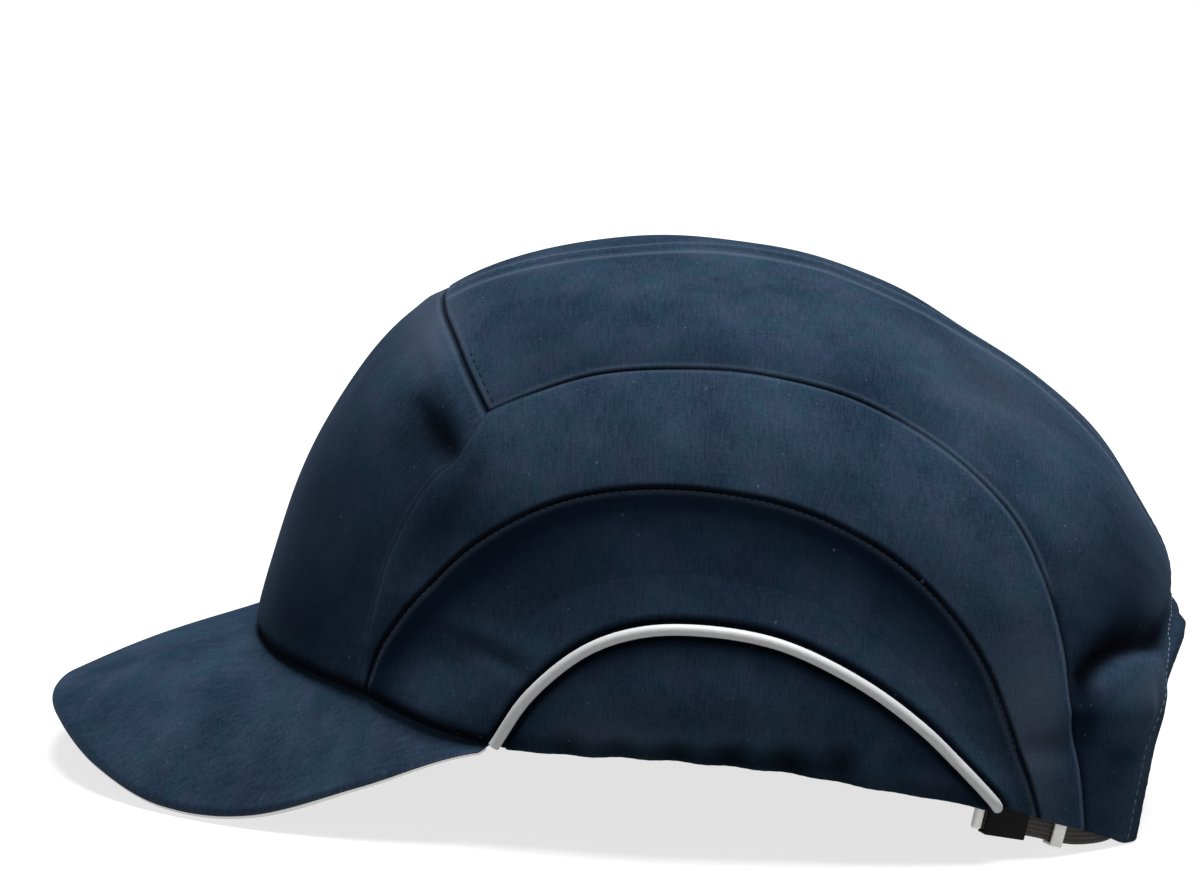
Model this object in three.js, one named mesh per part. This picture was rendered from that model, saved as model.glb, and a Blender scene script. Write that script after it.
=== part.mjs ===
// A baseball bump cap: a navy cloth crown of nine sewn panels, two grey piping cords, a short
// stiff peak with a pale edge, and a webbing strap across the opening at the nape.
// Millimetres, +Z up. The wearer faces -Y and the wearer's left is +X. The cap rests on z = 0 on
// the two side edges of the peak and the two rear corners of the crown.
import * as THREE from 'three';

// Driving dimensions

// The crown is one rounded surface: at each angle round its side-to-side axis it has a radius in
// the middle plane, and it narrows to nothing at half its width.
const CROWN = { halfWidth: 85, squareness: 2.3, y: 20, z: 40 };
// Radii of the middle plane every 20 degrees, from straight ahead over the top to the nape and
// on under the head. They steer a smooth periodic curve.
const PROFILE_RADII = [
  105.5, 100.5, 101, 91.5, 84.5, 83.5, 82.5, 88.5, 99.5,
  105.5, 120, 123, 119, 116, 118, 120, 122, 119,
];
// Everything is worked out round the crown's own axis, and the whole cap then moves along Y by
// this much, so that the middle of its box lies at the origin.
const BOX_SHIFT_Y = 4.7;

const WALL = 1.8;              // thickness of the sewn cloth
const SEAM_GAP = 0.3;          // between neighbouring pieces
const PIPING = { radius: 1.5, proud: 0.4, sides: 8 };
// The peak is a board in cloth with a thin pale layer under its edge. It thins towards its two
// ends, and it rests on the floor with its lowest edge pressed flat by a fraction of a millimetre.
const PEAK = {
  halfWidth: 78, rearY: -32, length: 103.8, roundness: 2.2, board: 2.2, trim: 1.2, trimWidth: 6,
  swell: 2.4, tuck: 1.2, thinFrom: 66, thinTo: 0.42, lastAngle: 89,
};
// Height of the top of the peak's edge, every 15 degrees from straight ahead to the side
const PEAK_EDGE_HEIGHTS = [14.2, 12.7, 7.2, 2.4, 3.6, 12.8, 23.2];
const STRAP = { thick: 1.6, height: 16, steps: 44 };
const SLIDER = { length: 10.5, wall: 1.5, clear: 0.6 };
const KEEPER = { length: 3.2, wall: 0.9, clear: 0.6, place: 19.5 };
const TAB = { length: 2.2, thick: 3.4, height: 17 };

const NAVY = 0x1e2b3d;
const PALE_GREY = 0xb9b9ba;
const WEBBING_GREY = 0x6c6868;
const BLACK = 0x121314;
const WHITE = 0xe6e6e4;

// Numbers of facets along the seams
const STEPS = { leg: 9, arch: 20, frontHalf: 8, crownAcross: 8, archAcross: 3, side: 5, ear: 5, opening: 6, peakHalf: 16, peakDeep: 6 };
const FLANK_STEPS = STEPS.leg + STEPS.arch;

// Seam lines on the left half of the crown, each through a few points that lie on it
const row = (x, y, z) => ({ x, y, z });
const SEAMS = {
  // across the top from the junction of three panels to the middle
  front: [row(56.6, -35.7, 95.8), row(48.7, -39.2, 100.7), row(32.3, -43.9, 107.2), row(16, -46.6, 109.8), row(0, -47.4, 110.4)],
  // from the same junction down to the peak
  leg: [
    row(56.6, -35.7, 95.8), row(58.9, -40.2, 89.3), row(58.7, -49.2, 78.3), row(59, -55, 66),
    row(59.9, -58, 55), row(60.6, -60, 45), row(60.8, -63, 31),
  ],
  // from the junction back over the ear and down to the rim
  arch: [
    row(56.6, -35.7, 95.8), row(57, -28, 99.6), row(56.5, -10.6, 105.7), row(56.5, 9, 107.9),
    row(56.8, 30, 106.3), row(56, 49, 101.1), row(56, 64, 93.5), row(58.3, 80.4, 80.5),
    row(61.5, 90.5, 64.5), row(63.2, 96, 48), row(63.9, 99.4, 30), row(62.5, 101.8, 12), row(61.2, 102.6, 5.4),
  ],
  // the stitched seam from the peak over the ear to the rim
  innerArch: [
    row(63.2, -60, 30), row(63.5, -57.8, 42.7), row(66.9, -48.1, 57.8), row(70.6, -36.1, 70.1),
    row(74.1, -16.3, 81.1), row(75.7, 7, 84.6), row(76.2, 30.5, 82), row(75.8, 48.7, 75.1),
    row(75.6, 64.9, 63.8), row(74.2, 78, 47.2), row(72.5, 85.6, 29.8), row(68.6, 92.2, 9.6),
  ],
  piping: [
    row(78.4, -31.2, 24), row(80.3, -23.5, 36.6), row(82.3, -11.6, 47.7), row(83.7, 0, 52.7),
    row(84.4, 14, 53.9), row(84.3, 32, 51.2), row(83, 50, 42.9), row(80.4, 63.9, 32.7),
    row(76.7, 76, 20.6), row(73.2, 83.1, 12.4),
  ],
  // the lower edge, front to rear
  earRim: [
    row(78.6, -30, 23.6), row(81.9, -16.3, 23), row(84, 1.6, 23.1), row(84.5, 19.5, 22.3),
    row(83.9, 37.5, 20.8), row(81.6, 55.6, 17.9), row(76.9, 73.8, 14.7), row(73.6, 82.2, 12.5),
  ],
  sideRim: [row(73.2, 83.1, 12.4), row(68.6, 92.2, 9.6)],
  archRim: [row(68.6, 92.2, 9.6), row(61.2, 102.6, 5.4)],
  rearRim: [row(61.2, 102.6, 5.4), row(55.4, 108.8, 2.4), row(51.6, 113, 0), row(48.6, 116.6, -0.5)],
  // where the crown meets the peak
  browFront: [row(0, -88, 32.2), row(16, -87, 32.4), row(32, -83.4, 32.6), row(46.1, -76.3, 32.4), row(55.4, -69.4, 31.6), row(60.8, -63, 31)],
  browSide: [row(63.2, -60, 30), row(69, -52.7, 28), row(73.8, -43.4, 25.8), row(78.2, -32, 24)],
  centre: [row(0, -47.4, 110.4), row(0, -10, 124), row(0, 34, 122), row(0, 75, 106), row(0, 104, 85), row(0, 119, 62), row(0, 125, 44)],
  opening: [row(0, 125, 44), row(18, 124, 41.5), row(34, 121.8, 33.5), row(43.5, 118.8, 23), row(47.6, 117.4, 11), row(48.6, 116.6, -0.5)],
};

// Soft dents and swellings of the cloth: where, how far they reach along X, Y and Z, and how deep.
// Each shows on both sides of the cap.
const SOFT_FORMS = [
  { name: 'fold above the opening', x: 18, y: 121, z: 48.5, reachX: 34, reachY: 18, reachZ: 4.6, out: -4.4 },
  { name: 'swelling beside the opening', x: 34, y: 115, z: 37, reachX: 16, reachY: 14, reachZ: 9, out: 3.2 },
  { name: 'lip of the opening', x: 0, y: 127, z: 38, reachX: 20, reachY: 12, reachZ: 5, out: 4.6 },
  { name: 'hollow behind the arch', x: 58, y: 95, z: 28, reachX: 14, reachY: 16, reachZ: 5, out: -1.1 },
  { name: 'dent in the front panel', x: 48, y: -55, z: 86, reachX: 12, reachY: 9, reachZ: 10, out: -1.8 },
  { name: 'brow swelling', x: 42, y: -74, z: 50, reachX: 22, reachY: 18, reachZ: 13, out: 1 },
  { name: 'ear swelling', x: 83, y: 14, z: 37, reachX: 12, reachY: 34, reachZ: 9, out: 1.6 },
  { name: 'elastic hem', x: 83, y: 22, z: 25, reachX: 16, reachY: 46, reachZ: 5, out: -2.4 },
  { name: 'dip in the top', x: 26, y: 76, z: 102, reachX: 16, reachY: 15, reachZ: 14, out: -1.3 },
];
// Gathers of the elastic hem: they run round the ear and die out upwards
const GATHERS = { pitch: 12.5, depth: 0.9, from: -22, to: 70, z: 24, reach: 9 };

// The strap's lower edge: on the left from its free end back inside the wall, straight across
// behind the two rear corners, and forward again to where its end is sewn to the right wall.
// inset is how far the middle of the strap lies inside the crown's outer face.
const STRAP_LEFT = [
  { y: 81, lowZ: 6.8, inset: 5.2 }, { y: 87, lowZ: 5.5, inset: 5.2 }, { y: 93, lowZ: 4, inset: 5 },
  { y: 98, lowZ: 2.4, inset: 4.6 }, { y: 103, lowZ: 1, inset: 4 },
];
const STRAP_ACROSS = [{ x: 52, y: 107.6 }, { x: 42, y: 111.8 }, { x: 22, y: 113.4 }, { x: 0, y: 113.9 }];
const STRAP_ACROSS_LOW = 0.5;
const STRAP_RIGHT = [
  { y: 102, lowZ: 3, inset: 3.3 }, { y: 96, lowZ: 6.5, inset: 3 }, { y: 90, lowZ: 9.5, inset: 3 },
];

const vec = (x, y, z) => new THREE.Vector3(x, y, z);
const CENTRE = vec(0, CROWN.y, CROWN.z);

// The crown's surface

function profileRadius(angle) {
  const count = PROFILE_RADII.length;
  const place = (((angle / (2 * Math.PI)) * count) % count + count) % count;
  const base = Math.floor(place);
  const f = place - base;
  const weights = [
    (1 - f) ** 3 / 6,
    (3 * f ** 3 - 6 * f ** 2 + 4) / 6,
    (-3 * f ** 3 + 3 * f ** 2 + 3 * f + 1) / 6,
    f ** 3 / 6,
  ];
  return weights.reduce((sum, w, k) => sum + w * PROFILE_RADII[(base - 1 + k + count) % count], 0);
}

// 1 on the crown's surface, less inside it and more outside
function crownLevel(p) {
  const y = p.y - CROWN.y;
  const z = p.z - CROWN.z;
  const radius = Math.hypot(y, z);
  const ratio = radius / profileRadius(Math.atan2(z, -y));
  return (Math.abs(p.x) / CROWN.halfWidth) ** CROWN.squareness + ratio ** CROWN.squareness;
}

// Moves a point onto the crown along the line to its centre
function drape(p) {
  const scale = crownLevel(p) ** (-1 / CROWN.squareness);
  return p.clone().sub(CENTRE).multiplyScalar(scale).add(CENTRE);
}

// The point of the left flank at a given Y and Z
function flankPoint(y, z) {
  const level = crownLevel(vec(0, y, z));
  return vec(CROWN.halfWidth * Math.max(1 - level, 0) ** (1 / CROWN.squareness), y, z);
}

function crownNormal(p) {
  const step = 0.05;
  const slope = (dx, dy, dz) => crownLevel(p.clone().add(vec(dx, dy, dz))) - crownLevel(p.clone().sub(vec(dx, dy, dz)));
  return vec(slope(step, 0, 0), slope(0, step, 0), slope(0, 0, step)).normalize();
}

const bell = (offset, reach) => Math.exp(-((offset / reach) ** 2));

// How far the cloth stands out from the plain crown
function clothRelief(p) {
  let out = 0;
  for (const form of SOFT_FORMS) {
    out += form.out * bell(Math.abs(p.x) - form.x, form.reachX) * bell(p.y - form.y, form.reachY) * bell(p.z - form.z, form.reachZ);
  }
  const ends = THREE.MathUtils.smoothstep(p.y, GATHERS.from - 8, GATHERS.from + 8)
    * (1 - THREE.MathUtils.smoothstep(p.y, GATHERS.to - 8, GATHERS.to + 8));
  const flank = THREE.MathUtils.smoothstep(Math.abs(p.x), 60, 75);
  out += GATHERS.depth * Math.sin((2 * Math.PI * p.y) / GATHERS.pitch) * ends * flank * bell(p.z - GATHERS.z, GATHERS.reach);
  return out;
}

// Seam lines and panels

function seamLine(rows, steps) {
  const curve = new THREE.CatmullRomCurve3(rows.map((r) => drape(vec(r.x, r.y, r.z))), false, 'centripetal');
  return curve.getSpacedPoints(steps).map(drape);
}

const backwards = (points) => [...points].reverse();
const mirrored = (points) => points.map((p) => vec(-p.x, p.y, p.z));

// A grid of points inside four border lines. top and bottom run the same way, left and right run
// from top to bottom.
function fillBorders(top, bottom, left, right) {
  const n = top.length - 1;
  const m = left.length - 1;
  return top.map((_, i) => left.map((__, j) => {
    const u = i / n;
    const v = j / m;
    const p = top[i].clone().multiplyScalar(1 - v).addScaledVector(bottom[i], v);
    p.addScaledVector(left[j], 1 - u).addScaledVector(right[j], u);
    p.addScaledVector(top[0], -(1 - u) * (1 - v)).addScaledVector(top[n], -u * (1 - v));
    p.addScaledVector(bottom[0], -(1 - u) * v).addScaledVector(bottom[n], -u * v);
    return drape(p);
  }));
}

// Draws the four borders of a grid in by a distance each: top, bottom, left, right. Each border
// point moves square to its border.
function trimBorders(grid, [top, bottom, left, right]) {
  const n = grid.length - 1;
  const m = grid[0].length - 1;
  const inward = (p, before, after, inside, distance) => {
    const along = after.clone().sub(before).normalize();
    const across = inside.clone().sub(p);
    return across.addScaledVector(along, -across.dot(along)).setLength(distance);
  };
  return grid.map((line, i) => line.map((p, j) => {
    const q = p.clone();
    const [before, after] = [grid[Math.max(i - 1, 0)][j], grid[Math.min(i + 1, n)][j]];
    const [above, below] = [line[Math.max(j - 1, 0)], line[Math.min(j + 1, m)]];
    if (j === 0) q.add(inward(p, before, after, line[1], top));
    if (j === m) q.add(inward(p, before, after, line[m - 1], bottom));
    if (i === 0) q.add(inward(p, above, below, grid[1][j], left));
    if (i === n) q.add(inward(p, above, below, grid[n - 1][j], right));
    return q;
  }));
}

// A closed sheet between two grids of the same size
function sheetSolid(outer, inner) {
  const n = outer.length - 1;
  const m = outer[0].length - 1;
  const positions = [];
  for (const grid of [outer, inner]) {
    for (const line of grid) line.forEach((p) => positions.push(p.x, p.y, p.z));
  }
  const layer = (n + 1) * (m + 1);
  const at = (side, i, j) => side * layer + i * (m + 1) + j;
  const faces = [];
  const quad = (a, b, c, d) => faces.push([a, b, c], [a, c, d]);
  for (let i = 0; i < n; i += 1) {
    for (let j = 0; j < m; j += 1) {
      quad(at(0, i, j), at(0, i + 1, j), at(0, i + 1, j + 1), at(0, i, j + 1));
      quad(at(1, i, j), at(1, i, j + 1), at(1, i + 1, j + 1), at(1, i + 1, j));
    }
    quad(at(0, i, 0), at(1, i, 0), at(1, i + 1, 0), at(0, i + 1, 0));
    quad(at(0, i, m), at(0, i + 1, m), at(1, i + 1, m), at(1, i, m));
  }
  for (let j = 0; j < m; j += 1) {
    quad(at(0, 0, j), at(0, 0, j + 1), at(1, 0, j + 1), at(1, 0, j));
    quad(at(0, n, j), at(1, n, j), at(1, n, j + 1), at(0, n, j + 1));
  }
  const geometry = new THREE.BufferGeometry();
  geometry.setAttribute('position', new THREE.Float32BufferAttribute(positions, 3));
  geometry.setIndex(faces.flat());
  return facingOut(geometry);
}

// Turns the faces round where the solid's volume comes out negative
function facingOut(geometry) {
  const place = geometry.getAttribute('position');
  const index = geometry.getIndex().array;
  const corner = (k) => vec(place.getX(index[k]), place.getY(index[k]), place.getZ(index[k]));
  let volume = 0;
  for (let k = 0; k < index.length; k += 3) volume += corner(k).dot(corner(k + 1).cross(corner(k + 2)));
  if (volume < 0) {
    for (let k = 0; k < index.length; k += 3) [index[k], index[k + 1]] = [index[k + 1], index[k]];
  }
  geometry.computeVertexNormals();
  return geometry;
}

// A wall of cloth over a grid on the crown. A hem that would reach below the floor lies flat on it.
function clothPanel(grid, trims) {
  const flat = trimBorders(grid, trims);
  const normals = flat.map((line) => line.map(crownNormal));
  const outer = flat.map((line, i) => line.map((p, j) => p.clone().addScaledVector(normals[i][j], clothRelief(p))));
  const inner = outer.map((line, i) => line.map((p, j) => p.clone().addScaledVector(normals[i][j], -WALL)));
  outer.forEach((line, i) => line.forEach((p, j) => {
    if (p.z > 0) return;
    p.z = 0;
    inner[i][j].z = 0;
  }));
  return sheetSolid(outer, inner);
}

const mirrorGrid = (grid) => grid.map(mirrored);

const HALF_GAP = SEAM_GAP / 2;
const PIPING_ROOM = PIPING.radius + SEAM_GAP;

const lines = {
  front: seamLine(SEAMS.front, STEPS.frontHalf),
  leg: seamLine(SEAMS.leg, STEPS.leg),
  arch: seamLine(SEAMS.arch, STEPS.arch),
  innerArch: seamLine(SEAMS.innerArch, FLANK_STEPS),
  piping: seamLine(SEAMS.piping, FLANK_STEPS),
  earRim: seamLine(SEAMS.earRim, FLANK_STEPS),
  sideRim: seamLine(SEAMS.sideRim, STEPS.side),
  archRim: seamLine(SEAMS.archRim, STEPS.archAcross),
  rearRim: seamLine(SEAMS.rearRim, STEPS.crownAcross),
  browFront: seamLine(SEAMS.browFront, STEPS.frontHalf),
  browSide: seamLine(SEAMS.browSide, STEPS.side),
  centre: seamLine(SEAMS.centre, STEPS.arch - STEPS.opening),
  opening: seamLine(SEAMS.opening, STEPS.opening),
};

// A straight line of points between two ends, on the crown
function shortLine(from, to, steps) {
  return Array.from({ length: steps + 1 }, (_, k) => drape(from.clone().lerp(to, k / steps)));
}

function frontPanel() {
  const top = [...mirrored(lines.front), ...backwards(lines.front).slice(1)];
  const bottom = [...backwards(mirrored(lines.browFront)), ...lines.browFront.slice(1)];
  return clothPanel(fillBorders(top, bottom, mirrored(lines.leg), lines.leg), [HALF_GAP, HALF_GAP, HALF_GAP, HALF_GAP]);
}

function crownGrid() {
  const middle = [...lines.centre, ...lines.opening.slice(1)];
  return fillBorders(lines.arch, middle, lines.front, lines.rearRim);
}

function archGrid() {
  const outer = [...backwards(lines.leg), ...lines.arch.slice(1)];
  const nose = shortLine(outer[0], lines.innerArch[0], STEPS.archAcross);
  return fillBorders(outer, lines.innerArch, nose, backwards(lines.archRim));
}

function sideGrid() {
  return fillBorders(lines.innerArch, lines.piping, lines.browSide, backwards(lines.sideRim));
}

function earGrid() {
  const front = shortLine(lines.piping[0], lines.earRim[0], STEPS.ear);
  const rear = shortLine(lines.piping[FLANK_STEPS], lines.earRim[FLANK_STEPS], STEPS.ear);
  return fillBorders(lines.piping, lines.earRim, front, rear);
}

// A round cord along a line of points
function roundCord(points, radius, sides) {
  const section = new THREE.Shape(Array.from({ length: sides }, (_, k) => {
    const turn = (2 * Math.PI * k) / sides;
    return new THREE.Vector2(radius * Math.cos(turn), radius * Math.sin(turn));
  }));
  const path = new THREE.CatmullRomCurve3(points, false, 'centripetal');
  return new THREE.ExtrudeGeometry(section, { extrudePath: path, steps: points.length - 1, bevelEnabled: false });
}

function pipingCord(side) {
  const line = lines.piping.map((p) => p.clone().addScaledVector(crownNormal(p), PIPING.proud + clothRelief(p)));
  return roundCord(side < 0 ? mirrored(line) : line, PIPING.radius, PIPING.sides);
}

// The peak

const peakAngles = Array.from({ length: 2 * STEPS.peakHalf + 1 }, (_, k) => (
  THREE.MathUtils.degToRad(PEAK.lastAngle) * (k / STEPS.peakHalf - 1)
));
const QUARTER = Math.PI / 2;
const browLine = new THREE.CatmullRomCurve3(
  [...SEAMS.browFront, ...SEAMS.browSide].map((r) => drape(vec(r.x, r.y, r.z))), false, 'centripetal',
);
const edgeHeights = new THREE.SplineCurve(PEAK_EDGE_HEIGHTS.map((z, k) => new THREE.Vector2(k, z)));

// How thick the peak is at an angle, against the middle
function peakThinning(angle) {
  const toEnd = THREE.MathUtils.smoothstep(THREE.MathUtils.radToDeg(Math.abs(angle)), PEAK.thinFrom, 90);
  return THREE.MathUtils.lerp(1, PEAK.thinTo, toEnd);
}

// A point on the top of the peak: v is 0 under the crown's wall and 1 at the free edge
function peakTop(angle, v) {
  const side = Math.sign(angle);
  const seam = browLine.getPointAt(Math.abs(angle) / QUARTER);
  const root = seam.clone().addScaledVector(crownNormal(seam), -PEAK.tuck);
  root.z = seam.z - SEAM_GAP;
  const bend = 2 / PEAK.roundness;
  const edge = vec(
    PEAK.halfWidth * Math.abs(Math.sin(angle)) ** bend,
    PEAK.rearY - PEAK.length * Math.cos(angle) ** bend,
    edgeHeights.getPoint(Math.abs(angle) / QUARTER).y,
  );
  const p = root.lerp(edge, v);
  p.z += PEAK.swell * Math.cos(angle) * Math.sin(Math.PI * v);
  p.x *= side;
  return p;
}

function peakUp(angle, v) {
  const step = 0.01;
  const across = peakTop(angle + step, v).sub(peakTop(angle - step, v));
  const along = peakTop(angle, v + step).sub(peakTop(angle, v - step));
  const up = across.cross(along).normalize();
  return up.z < 0 ? up.negate() : up;
}

// A layer of the peak between two depths below its top, from v = 0 or from a distance to the edge
function peakLayer(fromDepth, toDepth, width, steps) {
  const surface = (depth) => peakAngles.map((angle) => {
    const reach = peakTop(angle, 0).distanceTo(peakTop(angle, 1));
    const start = width ? 1 - Math.min(width / reach, 0.7) : 0;
    return Array.from({ length: steps + 1 }, (_, k) => {
      const v = start + (1 - start) * (k / steps);
      const p = peakTop(angle, v).addScaledVector(peakUp(angle, v), -depth * peakThinning(angle));
      p.z = Math.max(p.z, 0);
      return p;
    });
  });
  return sheetSolid(surface(fromDepth), surface(toDepth));
}

// The strap and what is on it

const levelOut = (n) => vec(n.x, n.y, 0).normalize();

function strapLine() {
  const inside = ({ y, lowZ, inset }) => {
    const foot = flankPoint(y, lowZ);
    return foot.addScaledVector(levelOut(crownNormal(foot)), -inset);
  };
  const across = STRAP_ACROSS.map(({ x, y }) => vec(x, y, STRAP_ACROSS_LOW));
  const back = backwards(mirrored(across.slice(0, -1)));
  const points = [...STRAP_LEFT.map(inside), ...across, ...back, ...mirrored(STRAP_RIGHT.map(inside))];
  return new THREE.CatmullRomCurve3(points, false, 'centripetal');
}

const strapCurve = strapLine();
const sideways = (tangent) => vec(-tangent.y, tangent.x, 0).normalize();

// Across the strap upwards, square to its run
function strapUp(along) {
  const up = along.clone().cross(sideways(along));
  return up.z < 0 ? up.negate() : up;
}

function strapBand() {
  const face = (offset) => Array.from({ length: STRAP.steps + 1 }, (_, k) => {
    const along = strapCurve.getTangentAt(k / STRAP.steps);
    const p = strapCurve.getPointAt(k / STRAP.steps).addScaledVector(sideways(along), offset);
    return [0, 1, 2].map((j) => p.clone().addScaledVector(strapUp(along), (STRAP.height * j) / 2));
  });
  return sheetSolid(face(STRAP.thick / 2), face(-STRAP.thick / 2));
}

// A frame whose third axis runs along the strap, at a distance from the strap's free end
function strapFrame(distance) {
  const part = Math.max(distance, 0) / strapCurve.getLength();
  const along = strapCurve.getTangentAt(part);
  const up = strapUp(along);
  const middle = strapCurve.getPointAt(part).addScaledVector(along, Math.min(distance, 0));
  middle.addScaledVector(up, STRAP.height / 2);
  return new THREE.Matrix4().makeBasis(up.clone().cross(along), up, along).setPosition(middle);
}

function roundedBox(path, width, height, radius) {
  const [x, y] = [width / 2, height / 2];
  path.moveTo(-x + radius, -y);
  path.lineTo(x - radius, -y).lineTo(x, -y + radius).lineTo(x, y - radius).lineTo(x - radius, y);
  path.lineTo(-x + radius, y).lineTo(-x, y - radius).lineTo(-x, -y + radius).lineTo(-x + radius, -y);
  return path;
}

// A ring round the strap
function strapRing({ length, wall, clear }, distance) {
  const hole = { width: STRAP.thick + 2 * clear, height: STRAP.height + 2 * clear };
  const section = roundedBox(new THREE.Shape(), hole.width + 2 * wall, hole.height + 2 * wall, wall * 0.6);
  section.holes.push(roundedBox(new THREE.Path(), hole.width, hole.height, clear * 0.3));
  const ring = new THREE.ExtrudeGeometry(section, { depth: length, bevelEnabled: false });
  ring.translate(0, 0, -length / 2);
  return ring.applyMatrix4(strapFrame(distance));
}

function endTab() {
  const tab = new THREE.ExtrudeGeometry(roundedBox(new THREE.Shape(), TAB.thick, TAB.height, 0.8), { depth: TAB.length, bevelEnabled: false });
  tab.translate(0, 0, -TAB.length / 2);
  return tab.applyMatrix4(strapFrame(-TAB.length / 2 - SEAM_GAP));
}

const colour = (hex, roughness, metalness = 0) => new THREE.MeshStandardMaterial({ color: hex, roughness, metalness });

const cap = new THREE.Group();
cap.position.y = BOX_SHIFT_Y;

function add(name, geometry, material) {
  const mesh = new THREE.Mesh(geometry, material);
  mesh.name = name;
  cap.add(mesh);
}

const cloth = colour(NAVY, 0.9);
add('front_panel', frontPanel(), cloth);
for (const [name, side] of [['left', 1], ['right', -1]]) {
  const handed = (grid) => (side < 0 ? mirrorGrid(grid) : grid);
  add(`crown_panel_${name}`, clothPanel(handed(crownGrid()), [HALF_GAP, HALF_GAP, HALF_GAP, 0]), cloth);
  add(`arch_panel_${name}`, clothPanel(handed(archGrid()), [HALF_GAP, HALF_GAP, HALF_GAP, 0]), cloth);
  add(`side_panel_${name}`, clothPanel(handed(sideGrid()), [HALF_GAP, PIPING_ROOM, HALF_GAP, 0]), cloth);
  add(`ear_panel_${name}`, clothPanel(handed(earGrid()), [PIPING_ROOM, 0, HALF_GAP, HALF_GAP]), cloth);
  add(`piping_${name}`, pipingCord(side), colour(PALE_GREY, 0.55));
}

add('peak', peakLayer(0, PEAK.board, 0, STEPS.peakDeep), cloth);
const trimDepth = PEAK.board + SEAM_GAP;
add('peak_trim', peakLayer(trimDepth, trimDepth + PEAK.trim, PEAK.trimWidth, 1), colour(PALE_GREY, 0.6));
add('rear_strap', strapBand(), colour(WEBBING_GREY, 0.8));
add('strap_slider', strapRing(SLIDER, SLIDER.length / 2 + 0.2), colour(BLACK, 0.35));
add('strap_keeper', strapRing(KEEPER, KEEPER.place), colour(WHITE, 0.5));
add('strap_tab', endTab(), colour(WHITE, 0.5));

const object = new THREE.Group();
object.add(cap);
export default object;
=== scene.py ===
import math

import bpy
import numpy as np
from mathutils import Matrix, Vector


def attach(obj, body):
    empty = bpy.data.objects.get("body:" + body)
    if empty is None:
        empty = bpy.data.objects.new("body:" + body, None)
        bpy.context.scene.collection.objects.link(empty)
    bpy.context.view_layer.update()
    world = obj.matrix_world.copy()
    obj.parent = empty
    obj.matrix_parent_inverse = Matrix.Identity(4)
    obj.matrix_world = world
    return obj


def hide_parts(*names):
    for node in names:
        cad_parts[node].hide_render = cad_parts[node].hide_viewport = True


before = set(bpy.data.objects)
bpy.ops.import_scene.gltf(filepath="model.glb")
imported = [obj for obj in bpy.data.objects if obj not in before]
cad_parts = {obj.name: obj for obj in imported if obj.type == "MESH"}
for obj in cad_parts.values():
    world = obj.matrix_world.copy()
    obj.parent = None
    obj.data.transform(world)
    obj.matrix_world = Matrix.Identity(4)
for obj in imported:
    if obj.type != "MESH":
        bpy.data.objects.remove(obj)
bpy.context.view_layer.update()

MM = 0.001
BODY = "root"
BOX_SHIFT = np.array([0, 4.7, 0])        # from the crown's own frame to the model's
HALVES = (("left", 1), ("right", -1))    # each half of the cap, and the sign of its X

# The crown's surface: half width, squareness and centre, then the radii of its middle plane every
# 20 degrees from straight ahead over the top. Then the cloth's thickness
HALF_WIDTH = 85.0
SQUARENESS = 2.3
CROWN_Y = 20.0
CROWN_Z = 40.0
PROFILE_RADII = np.array([
    105.5, 100.5, 101, 91.5, 84.5, 83.5, 82.5, 88.5, 99.5,
    105.5, 120, 123, 119, 116, 118, 120, 122, 119,
])
WALL = 1.8

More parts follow.
